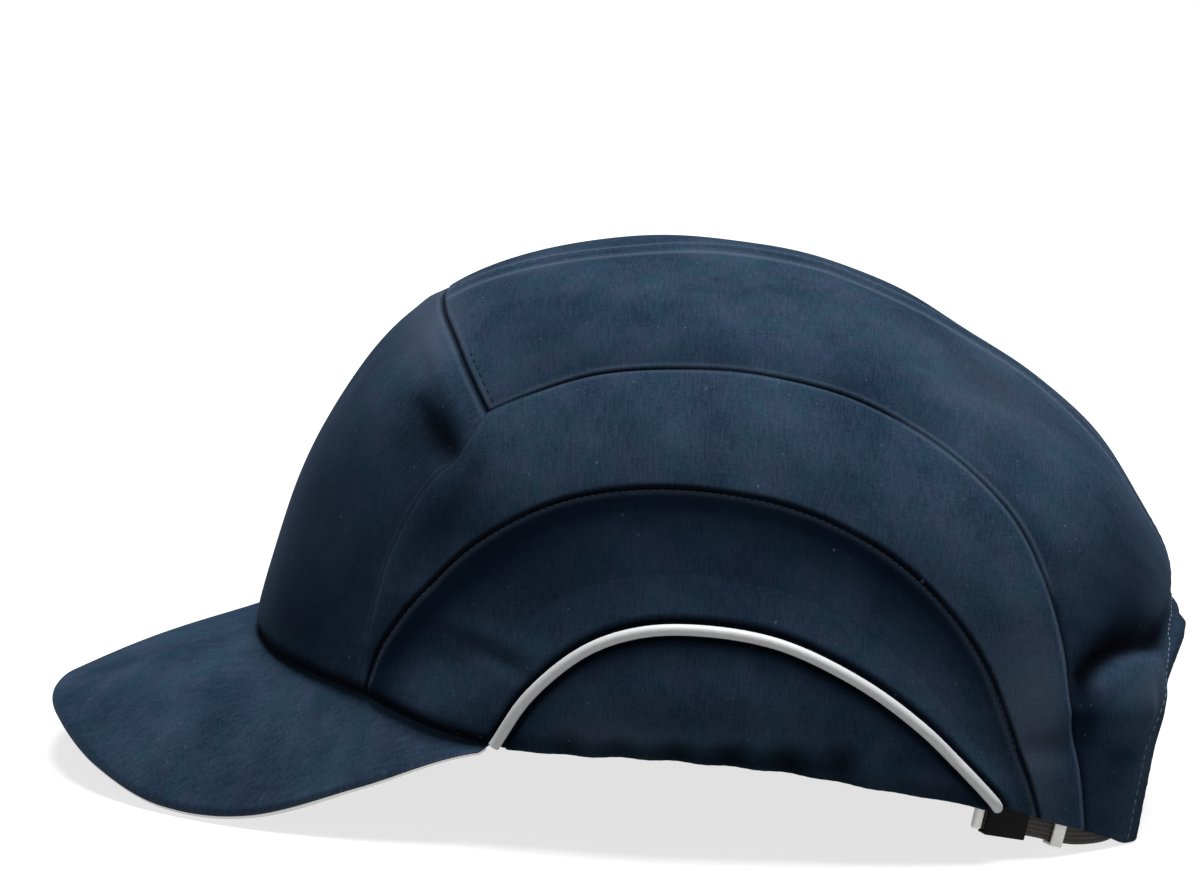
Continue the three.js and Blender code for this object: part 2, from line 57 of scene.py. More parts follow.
# Seam lines on the left half, x, y and z of a few points on each
SEAMS = {
    "front": [
        (56.6, -35.7, 95.8), (48.7, -39.2, 100.7), (32.3, -43.9, 107.2), (16, -46.6, 109.8),
        (0, -47.4, 110.4),
    ],
    "leg": [
        (56.6, -35.7, 95.8), (58.9, -40.2, 89.3), (58.7, -49.2, 78.3), (59, -55, 66), (59.9, -58, 55),
        (60.6, -60, 45), (60.8, -63, 31),
    ],
    "arch": [
        (56.6, -35.7, 95.8), (57, -28, 99.6), (56.5, -10.6, 105.7), (56.5, 9, 107.9), (56.8, 30, 106.3),
        (56, 49, 101.1), (56, 64, 93.5), (58.3, 80.4, 80.5), (61.5, 90.5, 64.5), (63.2, 96, 48),
        (63.9, 99.4, 30), (62.5, 101.8, 12), (61.2, 102.6, 5.4),
    ],
    "inner_arch": [
        (62.4, -61.8, 30.6), (63.3, -58.2, 42.5), (66.9, -48.1, 57.8), (70.6, -36.1, 70.1),
        (74.1, -16.3, 81.1), (75.7, 7, 84.6), (76.2, 30.5, 82), (75.8, 48.7, 75.1), (75.6, 64.9, 63.8),
        (74.2, 78, 47.2), (72.5, 85.6, 29.8), (68.6, 92.2, 9.6),
    ],
    "piping": [
        (78.4, -31.2, 24), (80.3, -23.5, 36.6), (82.3, -11.6, 47.7), (83.7, 0, 52.7), (84.4, 14, 53.9),
        (84.3, 32, 51.2), (83, 50, 42.9), (80.4, 63.9, 32.7), (76.7, 76, 20.6), (73.2, 83.1, 12.4),
    ],
    "ear_rim": [
        (78.6, -30, 23.6), (81.9, -16.3, 23), (84, 1.6, 23.1), (84.5, 19.5, 22.3), (83.9, 37.5, 20.8),
        (81.6, 55.6, 17.9), (76.9, 73.8, 14.7), (73.6, 82.2, 12.5),
    ],
    "side_rim": [(73.2, 83.1, 12.4), (68.6, 92.2, 9.6)],
    "arch_rim": [(68.6, 92.2, 9.6), (61.2, 102.6, 5.4)],
    "rear_rim": [(61.2, 102.6, 5.4), (55.4, 108.8, 2.4), (51.6, 113, 0), (48.6, 116.6, -0.5)],
    "brow_front": [
        (0, -88, 32.2), (16, -87, 32.4), (32, -83.4, 32.6), (46.1, -76.3, 32.4), (55.4, -69.4, 31.6),
        (60.8, -63, 31),
    ],
    "brow_side": [(62.4, -61.8, 30.6), (69, -52.7, 28), (73.8, -43.4, 25.8), (78.2, -32, 24)],
    "centre": [
        (0, -47.4, 110.4), (0, -10, 124), (0, 34, 122), (0, 75, 106), (0, 104, 85), (0, 119, 62),
        (0, 125, 44),
    ],
    "opening": [
        (0, 125, 44), (18, 124, 41.5), (34, 121.8, 33.5), (43.5, 118.8, 23), (47.6, 117.4, 11),
        (48.6, 116.6, -0.5),
    ],
}

# Soft dents and swellings: place, reach along each axis, and how far out
SOFT_FORMS = {
    "swelling beside the opening": ((44, 112, 38), (9, 10, 8), 2.4),
    "back of the crown": ((0, 122, 57), (30, 16, 8), 0.8),
    "fullness of the back": ((44, 100, 76), (19, 22, 10), 1.7),
    "hollow behind the arch": ((58, 95, 28), (14, 16, 5), -1.1),
    "dent in the front panel": ((48, -55, 86), (12, 9, 10), -1.8),
    "brow swelling": ((42, -74, 50), (22, 18, 13), 1),
    "ear swelling": ((83, 14, 37), (12, 34, 9), 1.6),
    "elastic hem": ((83, 22, 25), (16, 46, 5), -2.4),
    "dip in the top": ((26, 76, 102), (16, 15, 14), -1.3),
}

# The gathers of the elastic hem: waves along Y from one place to another, round one height, and on
# the flank alone, which X tells from the middle of the cap
GATHER_PITCH = 12.5
GATHER_DEPTH = 0.6
GATHER_FROM = -22
GATHER_TO = 70
GATHER_ENDS = 8
GATHER_Z = 24
GATHER_REACH = 9
FLANK_X = (60, 75)

# Folds along a line on the left half: how far each reaches above and below its line, how far out it
# stands, its side, which is 0 for both halves of the cap, 1 for the left alone and -1 for the right,
# and the x, y, z and strength of its points
FOLDS = {
    "hollow above the opening": (4.8, 2.2, -5.2, 0, [
        (62.6, 101.2, 28, 0.1), (62, 101.4, 33, 0.2), (61, 101.6, 36.5, 0.45), (59.4, 102.4, 40, 0.85),
        (55.4, 105.5, 43.2, 1), (50.8, 109.1, 44.4, 1), (44.7, 113.2, 44.2, 1), (37.9, 117, 43.2, 0.9),
        (29.8, 120.2, 42.6, 0.8), (18, 122.6, 45, 0.5), (0, 123.6, 47, 0.28),
    ]),
    "swelling under the hollow": (8.5, 5.0, 3.6, 0, [
        (57.5, 106, 32, 0.4), (54, 110, 31, 1), (49, 114, 30.5, 1), (45, 117, 31, 0.35),
    ]),
    "lip of the opening": (3.4, 5.0, 2.4, 1, [
        (0, 125, 44, 0), (8, 124.7, 43.3, 0), (14, 124.3, 42.4, 0.8), (20, 123.7, 40.8, 0.75),
        (26, 123, 38.3, 0.3), (34, 121.8, 33.5, -0.4),
    ]),
    "flat lip on the other side": (5.0, 5.0, -1.7, -1, [
        (0, 125, 44, 0), (6, 124.9, 43.6, 0.6), (14, 124.3, 42.4, 1), (20, 123.7, 40.8, 0.9),
        (26, 123, 38.3, 0.5), (34, 121.8, 33.5, 0.3),
    ]),
    "crease below the swelling": (3.0, 3.2, -0.9, 0, [
        (70.5, 90.4, 26.2, 0.6), (67.1, 96.2, 25.4, 0.8), (63.7, 100.8, 25, 0.1), (57.6, 107.9, 22.5, 0.8),
        (49.4, 115.1, 22.5, 0.8),
    ]),
    "dent beside the front seam": (3.4, 4.4, -2.8, 0, [
        (57.4, -44.4, 87.4, 0.8), (54, -47, 89.6, 1), (49.5, -49.6, 91.9, 0.9), (43.1, -52.6, 94.4, 0.5),
    ]),
    "ridge beside the front seam": (2.6, 2.6, 0.8, 0, [
        (58.4, -42.6, 89.5, 0.6), (55.8, -42, 93.6, 1), (49.5, -44.2, 97.8, 1), (33, -48.6, 104, 0.8),
        (18, -51, 106.6, 0.4),
    ]),
    "ridge down the front leg": (2.8, 2.8, 0.7, 0, [
        (61, -40, 85, 0.4), (62.5, -45.5, 76.5, 1), (61.6, -53, 62, 1), (61, -60, 42, 0.7),
    ]),
    "hollow of the front leg": (4.5, 4.5, -1.3, 0, [
        (64.2, -38.9, 82.2, 0.6), (65.9, -44, 70.4, 1), (66.7, -47.5, 60.1, 0.8),
    ]),
    "crease in front of the piping": (2.2, 2.4, -0.9, 0, [
        (74.5, -38, 46.5, 0.3), (76.8, -33, 44.3, 1), (78.6, -28.5, 42.6, 1), (79.5, -25.9, 40.7, 0.4),
    ]),
    "ridge over that crease": (3.2, 2.4, 0.8, 0, [
        (70.6, -44.4, 51.2, 0.4), (73.8, -38.6, 49, 1), (76.5, -32.9, 47.3, 0.8), (78.8, -27, 46, 0.3),
    ]),
    "slack behind the arch": (5.0, 4.0, -1.1, 0, [
        (49, 64, 96, 0.5), (50, 80, 87, 1), (52, 92, 73, 0.6),
    ]),
    "slack on the crown": (4.0, 4.5, -0.7, 0, [
        (40, -26, 109.5, 0.5), (44, -10, 112, 1), (43, 12, 113.5, 0.7), (38, 34, 115, 0.3),
    ]),
}

# Painted shade: where the cloth is painted darker where shade falls, with place, reach along each
# axis, and how much. Below nought it is painted light instead, paler where light falls
SHADE_AND_LIGHT_PLACES = {
    "front panel": ((30, -74, 58), (60, 26, 36), 0.8),
    "front leg": ((62, -46, 74), (12, 13, 13), 0.6),
    "dent": ((52.4, -46.2, 90.5), (9, 7, 7), 0.45),
    "front of the crown": ((44, -20, 110), (20, 26, 9), 0.3),
    "nape": ((42, 112, 56), (28, 17, 14), 0.75),
    "over the hollow": ((47, 110, 49), (13, 10, 6), 0.4),
    "rear leg": ((61.5, 101.6, 33), (5, 3.6, 13), 0.8),
    "rear corner": ((57, 109, 17), (9, 9, 11), 0.45),
    "middle of the side": ((80, 0, 66), (14, 62, 12), 0.35),
    "rear of the ear": ((79, 68, 24), (10, 10, 8), 0.25),
    "top of the front panel": ((18, -50, 107), (30, 9, 10), -0.6),
    "back of the top": ((30, 82, 98), (22, 16, 12), -0.25),
    "swelling over the nape": ((46, 115, 36), (12, 8, 7), -0.45),
    "flap of the nape": ((47, 117, 14), (5, 5, 14), -0.4),
    "rear leg of the arch": ((69, 91, 30), (9, 7, 26), -0.5),
    "rear of the side": ((76, 79, 28), (9, 10, 18), -0.55),
    "front of the ear": ((83, -8, 28), (8, 16, 8), -0.3),
    "front foot of the side": ((70, -48, 36), (10, 12, 11), -0.25),
}

# Painted shade on some panels: how much all over, along their first border, and how far in that reaches
PANEL_SHADE = {"side": (0.22, 0.6, 10.0), "ear": (0, 0.6, 6.5), "crown": (0, 0.28, 9.0)}

# Slow ripples of the cloth: wave number along each axis per millimetre, phase and height
RIPPLES = [
    ((0.06, 0.11, 0.05), 0.4, 0.22),
    ((-0.09, 0.05, 0.13), 2.1, 0.18),
    ((0.15, -0.07, 0.1), 4.0, 0.12),
    ((0.05, 0.21, -0.12), 1.2, 0.08),
]

# The peak: the outline of its free edge, with the edge's height every 15 degrees from straight ahead,
# the thickness of its board and trim, how far it swells, and how its root is tucked under the crown.
# It thins towards its corners
PEAK_HALF_WIDTH = 78.0
PEAK_REAR_Y = -32.0
PEAK_LENGTH = 103.8
PEAK_ROUNDNESS = 2.2
PEAK_EDGE_HEIGHTS = np.array([14.2, 12.7, 7.2, 2.4, 3.6, 12.8, 23.2])
PEAK_BOARD = 1.35
PEAK_TRIM = 1.5
PEAK_TRIM_GAP = 0.15
PEAK_TRIM_WIDTH = 6.0
PEAK_SWELL = 2.4
PEAK_TUCK = 2.6
PEAK_THIN_FROM = 66.0
PEAK_THIN_TO = 0.42
PEAK_LAST_ANGLE = 89.0
PEAK_ROLL_REACH = 2.2
# The painted highlight, partly worn paler cloth, along the peak's edge: how strong, and how far in
PEAK_RUBBED_HIGHLIGHT = 0.25
PEAK_RUBBED_HIGHLIGHT_REACH = 0.8
SEAM_GAP = 0.3


# The crown's surface

def profile_radius(angle):
    """Radius of the middle plane at an angle from straight ahead, a periodic cubic curve."""
    count = len(PROFILE_RADII)
    place = (angle / (2 * math.pi) * count) % count
    base = np.floor(place).astype(int)
    f = place - base
    weights = [(1 - f) ** 3, 3 * f ** 3 - 6 * f ** 2 + 4, -3 * f ** 3 + 3 * f ** 2 + 3 * f + 1, f ** 3]
    return sum(w / 6 * PROFILE_RADII[(base - 1 + k) % count] for k, w in enumerate(weights))


def crown_level(p):
    """1 on the crown, less inside it and more outside."""
    y = p[..., 1] - CROWN_Y
    z = p[..., 2] - CROWN_Z
    ratio = np.hypot(y, z) / profile_radius(np.arctan2(z, -y))
    return (np.abs(p[..., 0]) / HALF_WIDTH) ** SQUARENESS + ratio ** SQUARENESS


def drape(p):
    """Moves points onto the crown along the lines to its centre."""
    centre = np.array([0, CROWN_Y, CROWN_Z])
    return centre + (p - centre) * (crown_level(p) ** (-1 / SQUARENESS))[..., None]


def unit(v):
    return v / np.linalg.norm(v, axis=-1, keepdims=True)


def crown_normal(p):
    """The way out from the crown's surface."""
    step = 0.05
    slopes = [crown_level(p + step * axis) - crown_level(p - step * axis) for axis in np.eye(3)]
    return unit(np.stack(slopes, -1))


def flank_point(y, z):
    """The point of the left flank at a given Y and Z."""
    level = crown_level(np.array([0.0, y, z]))
    return np.array([HALF_WIDTH * max(1 - level, 0) ** (1 / SQUARENESS), y, z])


def smoothstep(x, low, high):
    t = np.clip((x - low) / (high - low), 0, 1)
    return t * t * (3 - 2 * t)


def to_side(p, side):
    """Points of the left half, on the half that side names by its sign."""
    return p * np.array([side, 1, 1])


def left_half(p):
    """Points of either half, mirrored onto the left one."""
    return np.abs(p) * [1, 0, 0] + p * [0, 1, 1]


def soft_places(p, table):
    """The sum at points on the left half of soft round places, each with its place, reach and height."""
    rows = table.values()
    return sum(height * np.exp(-np.sum(((p - at) / reach) ** 2, axis=-1)) for at, reach, height in rows)


def fold_relief(p, above, below, out, points):
    """How far a fold lifts or sinks the cloth at points on the left half."""
    corners = np.array(points, float)
    place = np.linspace(0, len(corners) - 1, 12 * len(corners))
    path = np.stack([np.interp(place, np.arange(len(corners)), corners[:, k]) for k in range(4)], -1)
    flat = p.reshape(-1, 3)
    gaps = np.linalg.norm(flat[:, None] - path[None, :, :3], axis=2)
    nearest = gaps.argmin(1)
    gap = gaps[np.arange(len(flat)), nearest]
    side = smoothstep(flat[:, 2] - path[nearest, 2], -1.5, 1.5)
    reach = below + (above - below) * side
    return (out * path[nearest, 3] * np.exp(-(gap / reach) ** 2)).reshape(p.shape[:-1])


def gather_relief(p):
    """The waves of the elastic hem at points on the left half."""
    x, y, z = np.moveaxis(p, -1, 0)
    begun = smoothstep(y, GATHER_FROM - GATHER_ENDS, GATHER_FROM + GATHER_ENDS)
    ended = smoothstep(y, GATHER_TO - GATHER_ENDS, GATHER_TO + GATHER_ENDS)
    near = begun * (1 - ended) * smoothstep(x, *FLANK_X) * np.exp(-((z - GATHER_Z) / GATHER_REACH) ** 2)
    return GATHER_DEPTH * np.sin(2 * math.pi * y / GATHER_PITCH) * near


def cloth_relief(p, side=1):
    """How far the cloth stands out from the plain crown: soft forms, folds, gathers and ripples."""
    left = left_half(p)
    out = soft_places(left, SOFT_FORMS) + gather_relief(left)
    for above, below, height, fold_side, points in FOLDS.values():
        if fold_side in (0, side):
            out += fold_relief(left, above, below, height, points)
    for wave, phase, height in RIPPLES:
        out += height * np.sin(p @ np.array(wave) + phase)
    return out


# Seam lines

class Line:
    """A line of dense points with a place from 0 to 1 along it."""

    def __init__(self, points, places=None):
        steps = np.linalg.norm(np.diff(points, axis=0), axis=1)
        self.points = points
        self.length = float(steps.sum())
        self.places = np.concatenate([[0], np.cumsum(steps)]) / steps.sum() if places is None else places

    def at(self, place):
        return np.stack([np.interp(place, self.places, self.points[:, k]) for k in range(3)], -1)

    def reverse(self):
        return Line(self.points[::-1], 1 - self.places[::-1])

    def mirror(self):
        return Line(to_side(self.points, -1), self.places)


POINTS_PER_SPAN = 40


def curve_through(points):
    """A smooth centripetal curve through the points."""
    points = np.asarray(points, float)
    ends = [2 * points[0] - points[1], *points, 2 * points[-1] - points[-2]]
    out = []
    for a, b, c, d in zip(ends, ends[1:], ends[2:], ends[3:]):
        spans = [np.linalg.norm(q - p) ** 0.5 for p, q in ((a, b), (b, c), (c, d))]
        knots = np.concatenate([[0], np.cumsum(spans)])
        t = np.linspace(knots[1], knots[2], POINTS_PER_SPAN, endpoint=False)[:, None]

        def mix(p, q, low, high):
            return ((high - t) * p + (t - low) * q) / (high - low)

        ab = mix(a, b, knots[0], knots[1])
        bc = mix(b, c, knots[1], knots[2])
        cd = mix(c, d, knots[2], knots[3])
        abc = mix(ab, bc, knots[0], knots[2])
        bcd = mix(bc, cd, knots[1], knots[3])
        out.append(mix(abc, bcd, knots[1], knots[2]))
    return np.concatenate(out + [points[-1:]])


def seam(*names):
    """The line through the points of one seam, or of several end to end, on the crown."""
    points = [point for name in names for point in SEAMS[name]]
    return Line(drape(curve_through(drape(np.array(points, float)))))


def join(*parts):
    """Lines end to end, each with its share of the places."""
    points = [parts[0][0].points[:1]]
    places = [np.zeros(1)]
    start = 0.0
    for line, share in parts:
        points.append(line.points[1:])
        places.append(start + share * line.places[1:])
        start += share
    return Line(np.concatenate(points), np.concatenate(places))


def straight(start, end):
    """The shortest way between two points, on the crown."""
    t = np.linspace(0, 1, 60)[:, None]
    return Line(drape(start * (1 - t) + end * t))


# Panels

BORDER_ROWS = np.array([0, 0.3, 0.65, 1.05, 1.5, 2.1, 3.0])    # close rows of a grid, from its border in


def spread(lengths, cells):
    """Places of the grid lines along borders of some lengths: close rows at both ends, even between."""
    lengths = np.atleast_1d(lengths)[:, None]
    scale = np.minimum(1, 0.3 * lengths / BORDER_ROWS[-1])
    edge = BORDER_ROWS[None] * scale / lengths
    inner = cells + 1 - 2 * len(BORDER_ROWS)
    t = np.linspace(0, 1, inner + 2)[1:-1][None]
    middle = edge[:, -1:] + (1 - 2 * edge[:, -1:]) * t
    return np.concatenate([edge, middle, 1 - edge[:, ::-1]], axis=1)


def fill_borders(borders, u, v):
    """Points inside four border lines, at places u along the first two and v along the other two."""
    first, second, front, rear = borders
    u3 = u[..., None]
    v3 = v[..., None]
    p = (1 - v3) * first.at(u) + v3 * second.at(u) + (1 - u3) * front.at(v) + u3 * rear.at(v)
    p = p - (1 - u3) * (1 - v3) * first.at(0.0) - u3 * (1 - v3) * first.at(1.0)
    p = p - (1 - u3) * v3 * second.at(0.0) - u3 * v3 * second.at(1.0)
    return drape(p)


def panel_places(borders, cells):
    """The u and v of every grid corner, with close rows along all four borders."""
    coarse = np.linspace(0, 1, 41)
    u, v = np.meshgrid(coarse, coarse, indexing="ij")
    p = fill_borders(borders, u, v)
    rows = np.linalg.norm(np.diff(p, axis=0), axis=2).sum(0)
    columns = np.linalg.norm(np.diff(p, axis=1), axis=2).sum(1)
    v_even = np.linspace(0, 1, cells[1] + 1)
    u_places = spread(np.interp(v_even, coarse, rows), cells[0]).T
    flat = u_places.ravel()
    v_all = spread(np.interp(flat, coarse, columns), cells[1])
    v_places = v_all.reshape(cells[0] + 1, cells[1] + 1, cells[1] + 1)
    v_places = v_places[:, np.arange(cells[1] + 1), np.arange(cells[1] + 1)]
    return u_places, v_places


def distance_to(line, p):
    """Distance of every point of a grid to a line, worked out a few of the line's points at a time."""
    flat = p.reshape(-1, 3)
    best = np.full(len(flat), np.inf)
    for part in np.array_split(line.at(np.linspace(0, 1, 400)), 8):
        best = np.minimum(best, np.linalg.norm(flat[:, None] - part[None], axis=2).min(1))
    return best.reshape(p.shape[:-1])


def deselect():
    bpy.ops.object.select_all(action="DESELECT")


def only(piece):
    deselect()
    piece.select_set(True)
    bpy.context.view_layer.objects.active = piece


def add_object(name, data):
    made = bpy.data.objects.new(name, data)
    bpy.context.scene.collection.objects.link(made)
    return made


def apply_modifier(piece, kind, **settings):
    only(piece)
    modifier = piece.modifiers.new(kind.title(), kind)
    for key, value in settings.items():
        setattr(modifier, key, value)
    bpy.ops.object.modifier_apply(modifier=modifier.name)


def write_places(piece, places):
    """Puts a mesh's points at places in millimetres of the crown's own frame."""
    piece.data.vertices.foreach_set("co", ((places + BOX_SHIFT) * MM).astype(np.float32).ravel())
    piece.data.update()


def mesh_points(piece):
    """A mesh's points as they are in the model, in millimetres."""
    co = np.zeros(len(piece.data.vertices) * 3, np.float32)
    piece.data.vertices.foreach_get("co", co)
    return co.reshape(-1, 3).astype(float) / MM


def read_places(piece):
    """A mesh's points in millimetres of the crown's own frame."""
    return mesh_points(piece) - BOX_SHIFT


def grid_sheet(name, cells):
    """A flat grid, and the row and column of each of its points."""
    deselect()
    bpy.ops.mesh.primitive_grid_add(x_subdivisions=cells[0], y_subdivisions=cells[1], size=1)
    sheet = bpy.context.object
    sheet.name = name
    sheet.data.name = name
    flat = mesh_points(sheet)[:, :2]
    rows, columns = np.rint((flat - flat.min(0)) / np.ptp(flat, axis=0) * cells).astype(int).T
    return sheet, rows, columns


def wall_from_grids(name, outer, inner, smooth_angle=60, marks=None):
    """A closed wall between two grids of points, whose outer side faces out. marks are values on the
    grid's points, for the material."""
    marks = marks or {}
    cells = (outer.shape[0] - 1, outer.shape[1] - 1)
    across = outer[1:, :-1] - outer[:-1, :-1]
    along = outer[:-1, 1:] - outer[:-1, :-1]
    towards = (outer - inner)[:-1, :-1]
    if np.sum(np.cross(across, along) * towards) < 0:
        outer = outer[::-1]
        inner = inner[::-1]
        marks = {key: grid[::-1] for key, grid in marks.items()}
    sheet, rows, columns = grid_sheet(name, cells)
    write_places(sheet, outer[rows, columns])
    apply_modifier(sheet, "SOLIDIFY", thickness=WALL * MM, offset=-1)
    write_places(sheet, np.concatenate([outer[rows, columns], inner[rows, columns]]))
    for key, grid in marks.items():
        mark(sheet, key, np.tile(grid[rows, columns], 2))
    only(sheet)
    bpy.ops.object.shade_smooth_by_angle(angle=math.radians(smooth_angle))
    return sheet


def mark(piece, name, values):
    """Writes a value on each point of a piece for its material to read."""
    attribute = piece.data.attributes.new(name, "FLOAT", "POINT")
    attribute.data.foreach_set("value", values.astype(np.float32))


def lay_uv(piece, flat):
    """Gives a piece's UV map a flat place for each of its points."""
    loops = np.zeros(len(piece.data.loops), np.int32)
    piece.data.loops.foreach_get("vertex_index", loops)
    piece.data.uv_layers.active.data.foreach_set("uv", flat[loops].astype(np.float32).ravel())


# The weave is unrolled round a line at this height, at the flank's and the front's mean distance
WEAVE_AXIS_Z = 30
FLANK_UNROLL = 76
FRONT_UNROLL = 95


def cloth_uv(piece, mapping):
    """Lays the weave along the cloth, in millimetres."""
    x, y, z = read_places(piece).T
    if mapping == "flank":
        flat = [y, FLANK_UNROLL * np.arctan2(z - WEAVE_AXIS_Z, np.abs(x) + 1e-6)]
    elif mapping == "front":
        flat = [x, FRONT_UNROLL * np.arctan2(z - WEAVE_AXIS_Z, CROWN_Y - y)]
    else:
        flat = [x, y]
    lay_uv(piece, np.stack(flat, -1))


# How each kind of border is sewn: how far its edge stays back from the seam line, how far in it
# turns and over what width, where rows of stitches pull the cloth down, the width and height of
# a doubled hem, and how far the lining side reaches on past the edge. Then how dark the painted
# shade along its seam is and how wide, how strong the painted highlight, partly worn paler cloth, is
# on the turned cloth beside it, and how far from the edge, where 0 is just past the shaded band
PLAIN_BORDER = {
    "back": 0.04, "depth": 0.6, "width": 0.9, "rows": (), "hem": (0, 0), "lap": 0.4,
    "dark": 0.8, "dark_reach": 0.55, "rubbed_highlight": 0.25, "rubbed_highlight_at": 0,
}
BORDER_KINDS = {
    "open": {"back": 0.05, "depth": 0.85, "width": 1.15, "dark": 0.85, "dark_reach": 0.7},
    "arch edge": {"depth": 0.65, "width": 0.8, "lap": 0.7, "dark": 0.9, "dark_reach": 0.5, "rubbed_highlight": 0},
    "under": {"depth": 1.0, "width": 1.1, "rows": (1.3,), "dark": 0.9, "dark_reach": 0.5, "rubbed_highlight": 0.4},
    "fine": {},
    "faint": {"depth": 0.3, "width": 0.8, "dark": 0.2, "rubbed_highlight": 0.4},
    "lapped over": {"back": 0, "depth": 0.25, "width": 0.5, "dark": 0.25, "dark_reach": 0.3, "rubbed_highlight": 0.55},
    "lapped under": {"depth": 0.9, "width": 2.4, "lap": 0.5, "dark": 0.6, "dark_reach": 1.6, "rubbed_highlight": 0},
    "hidden": {"back": 0, "depth": 0.08, "width": 0.5, "dark": 0.1, "dark_reach": 0.4, "rubbed_highlight": 0.1},
    "double": {
        "depth": 0.35, "rows": (4.0,), "hem": (5.0, 0.3), "dark": 0.3, "rubbed_highlight": 0.5, "rubbed_highlight_at": 5.2,
    },
    "piped": {"back": 1.15, "depth": 1.2, "width": 1.8, "lap": 1.1, "dark_reach": 0.9, "rubbed_highlight": 0},
    "brow": {
        "back": 0.05, "depth": 1.6, "width": 3.2, "lap": 1.5, "dark": 1.0, "dark_reach": 3.3, "rubbed_highlight": 0,
    },
    "edge": {"back": 0, "lap": 0, "dark": 0, "rubbed_highlight": 0.1},
    "elastic hem": {"back": 0, "lap": 0, "dark": 0.5, "dark_reach": 6.5, "rubbed_highlight": 0},
    "turned hem": {
        "back": 0, "depth": 0.7, "width": 1.1, "rows": (3.9,), "hem": (4.6, 0.45), "lap": 0,
        "dark": 0.4, "dark_reach": 4.2, "rubbed_highlight": 0,
    },
}
KIND_BLEND = 0.02        # how soon one kind of border turns into the next, in places along it
BACK_FADE = 4.0          # how far in the cloth follows a border that stays back
LAP_FADE = 1.2           # how far in the lining side follows one that reaches on
LAP_INWARD = 0.6         # how much deeper it goes there
LINING_SHARE = 0.35      # how much of a seam's turning in shows on the lining side
PUFF = 0.5               # how far cloth swells between its seams
PUFF_REACH = 8.0
STITCH_PULL = 0.26
STITCH_PULL_WIDTH = 0.6
SKEW = 0.7               # moves the deepest place of a bowed panel towards its first border
BOW_EASE = 12.0          # how far from its ends a panel is fully bowed
HOLLOW_SHADE_FROM = 0.6          # how far a hollow sinks before painted shade darkens it, and over what further depth
HOLLOW_SHADE_DEPTH = 4.0
SHADE_PAINT_LIMIT = 0.9          # the most that painted shade or painted light takes over


def border_parts(kinds, place):
    """The kinds of a border, each with its weight at places along it. kinds is one kind, or pairs
    of a kind and where it ends."""
    if isinstance(kinds, str):
        kinds = ((kinds, 1.0),)
    start = 0.0
    for kind, end in kinds:
        weight = np.ones_like(place)
        if start > 0:
            weight = weight * smoothstep(place, start - KIND_BLEND, start + KIND_BLEND)
        if end < 1:
            weight = weight * (1 - smoothstep(place, end - KIND_BLEND, end + KIND_BLEND))
        start = end
        yield {**PLAIN_BORDER, **BORDER_KINDS[kind]}, weight


def border_lift(sewn, gap):
    """How far a border's sewing lifts the cloth at a distance from its edge."""
    lift = -sewn["depth"] * np.clip(1 - gap / sewn["width"], 0, 1) ** 2
    for row in sewn["rows"]:
        lift = lift - STITCH_PULL * np.exp(-((gap - row) / STITCH_PULL_WIDTH) ** 2)
    width, height = sewn["hem"]
    if width:
        lift = lift + height * (1 - smoothstep(gap, width - 0.5, width + 0.3))
    return lift


def border_step(p, k):
    """The way in from one of a grid's four borders, square to it, at each of its points."""
    edge, inside = ((p[:, 0], p[:, 1]), (p[:, -1], p[:, -2]), (p[0], p[1]), (p[-1], p[-2]))[k]
    along = np.gradient(edge, axis=0)
    step = inside - edge
    step = unit(step - along * (np.sum(step * along, -1) / np.sum(along * along, -1))[:, None])
    return step[:, None] if k < 2 else step[None]


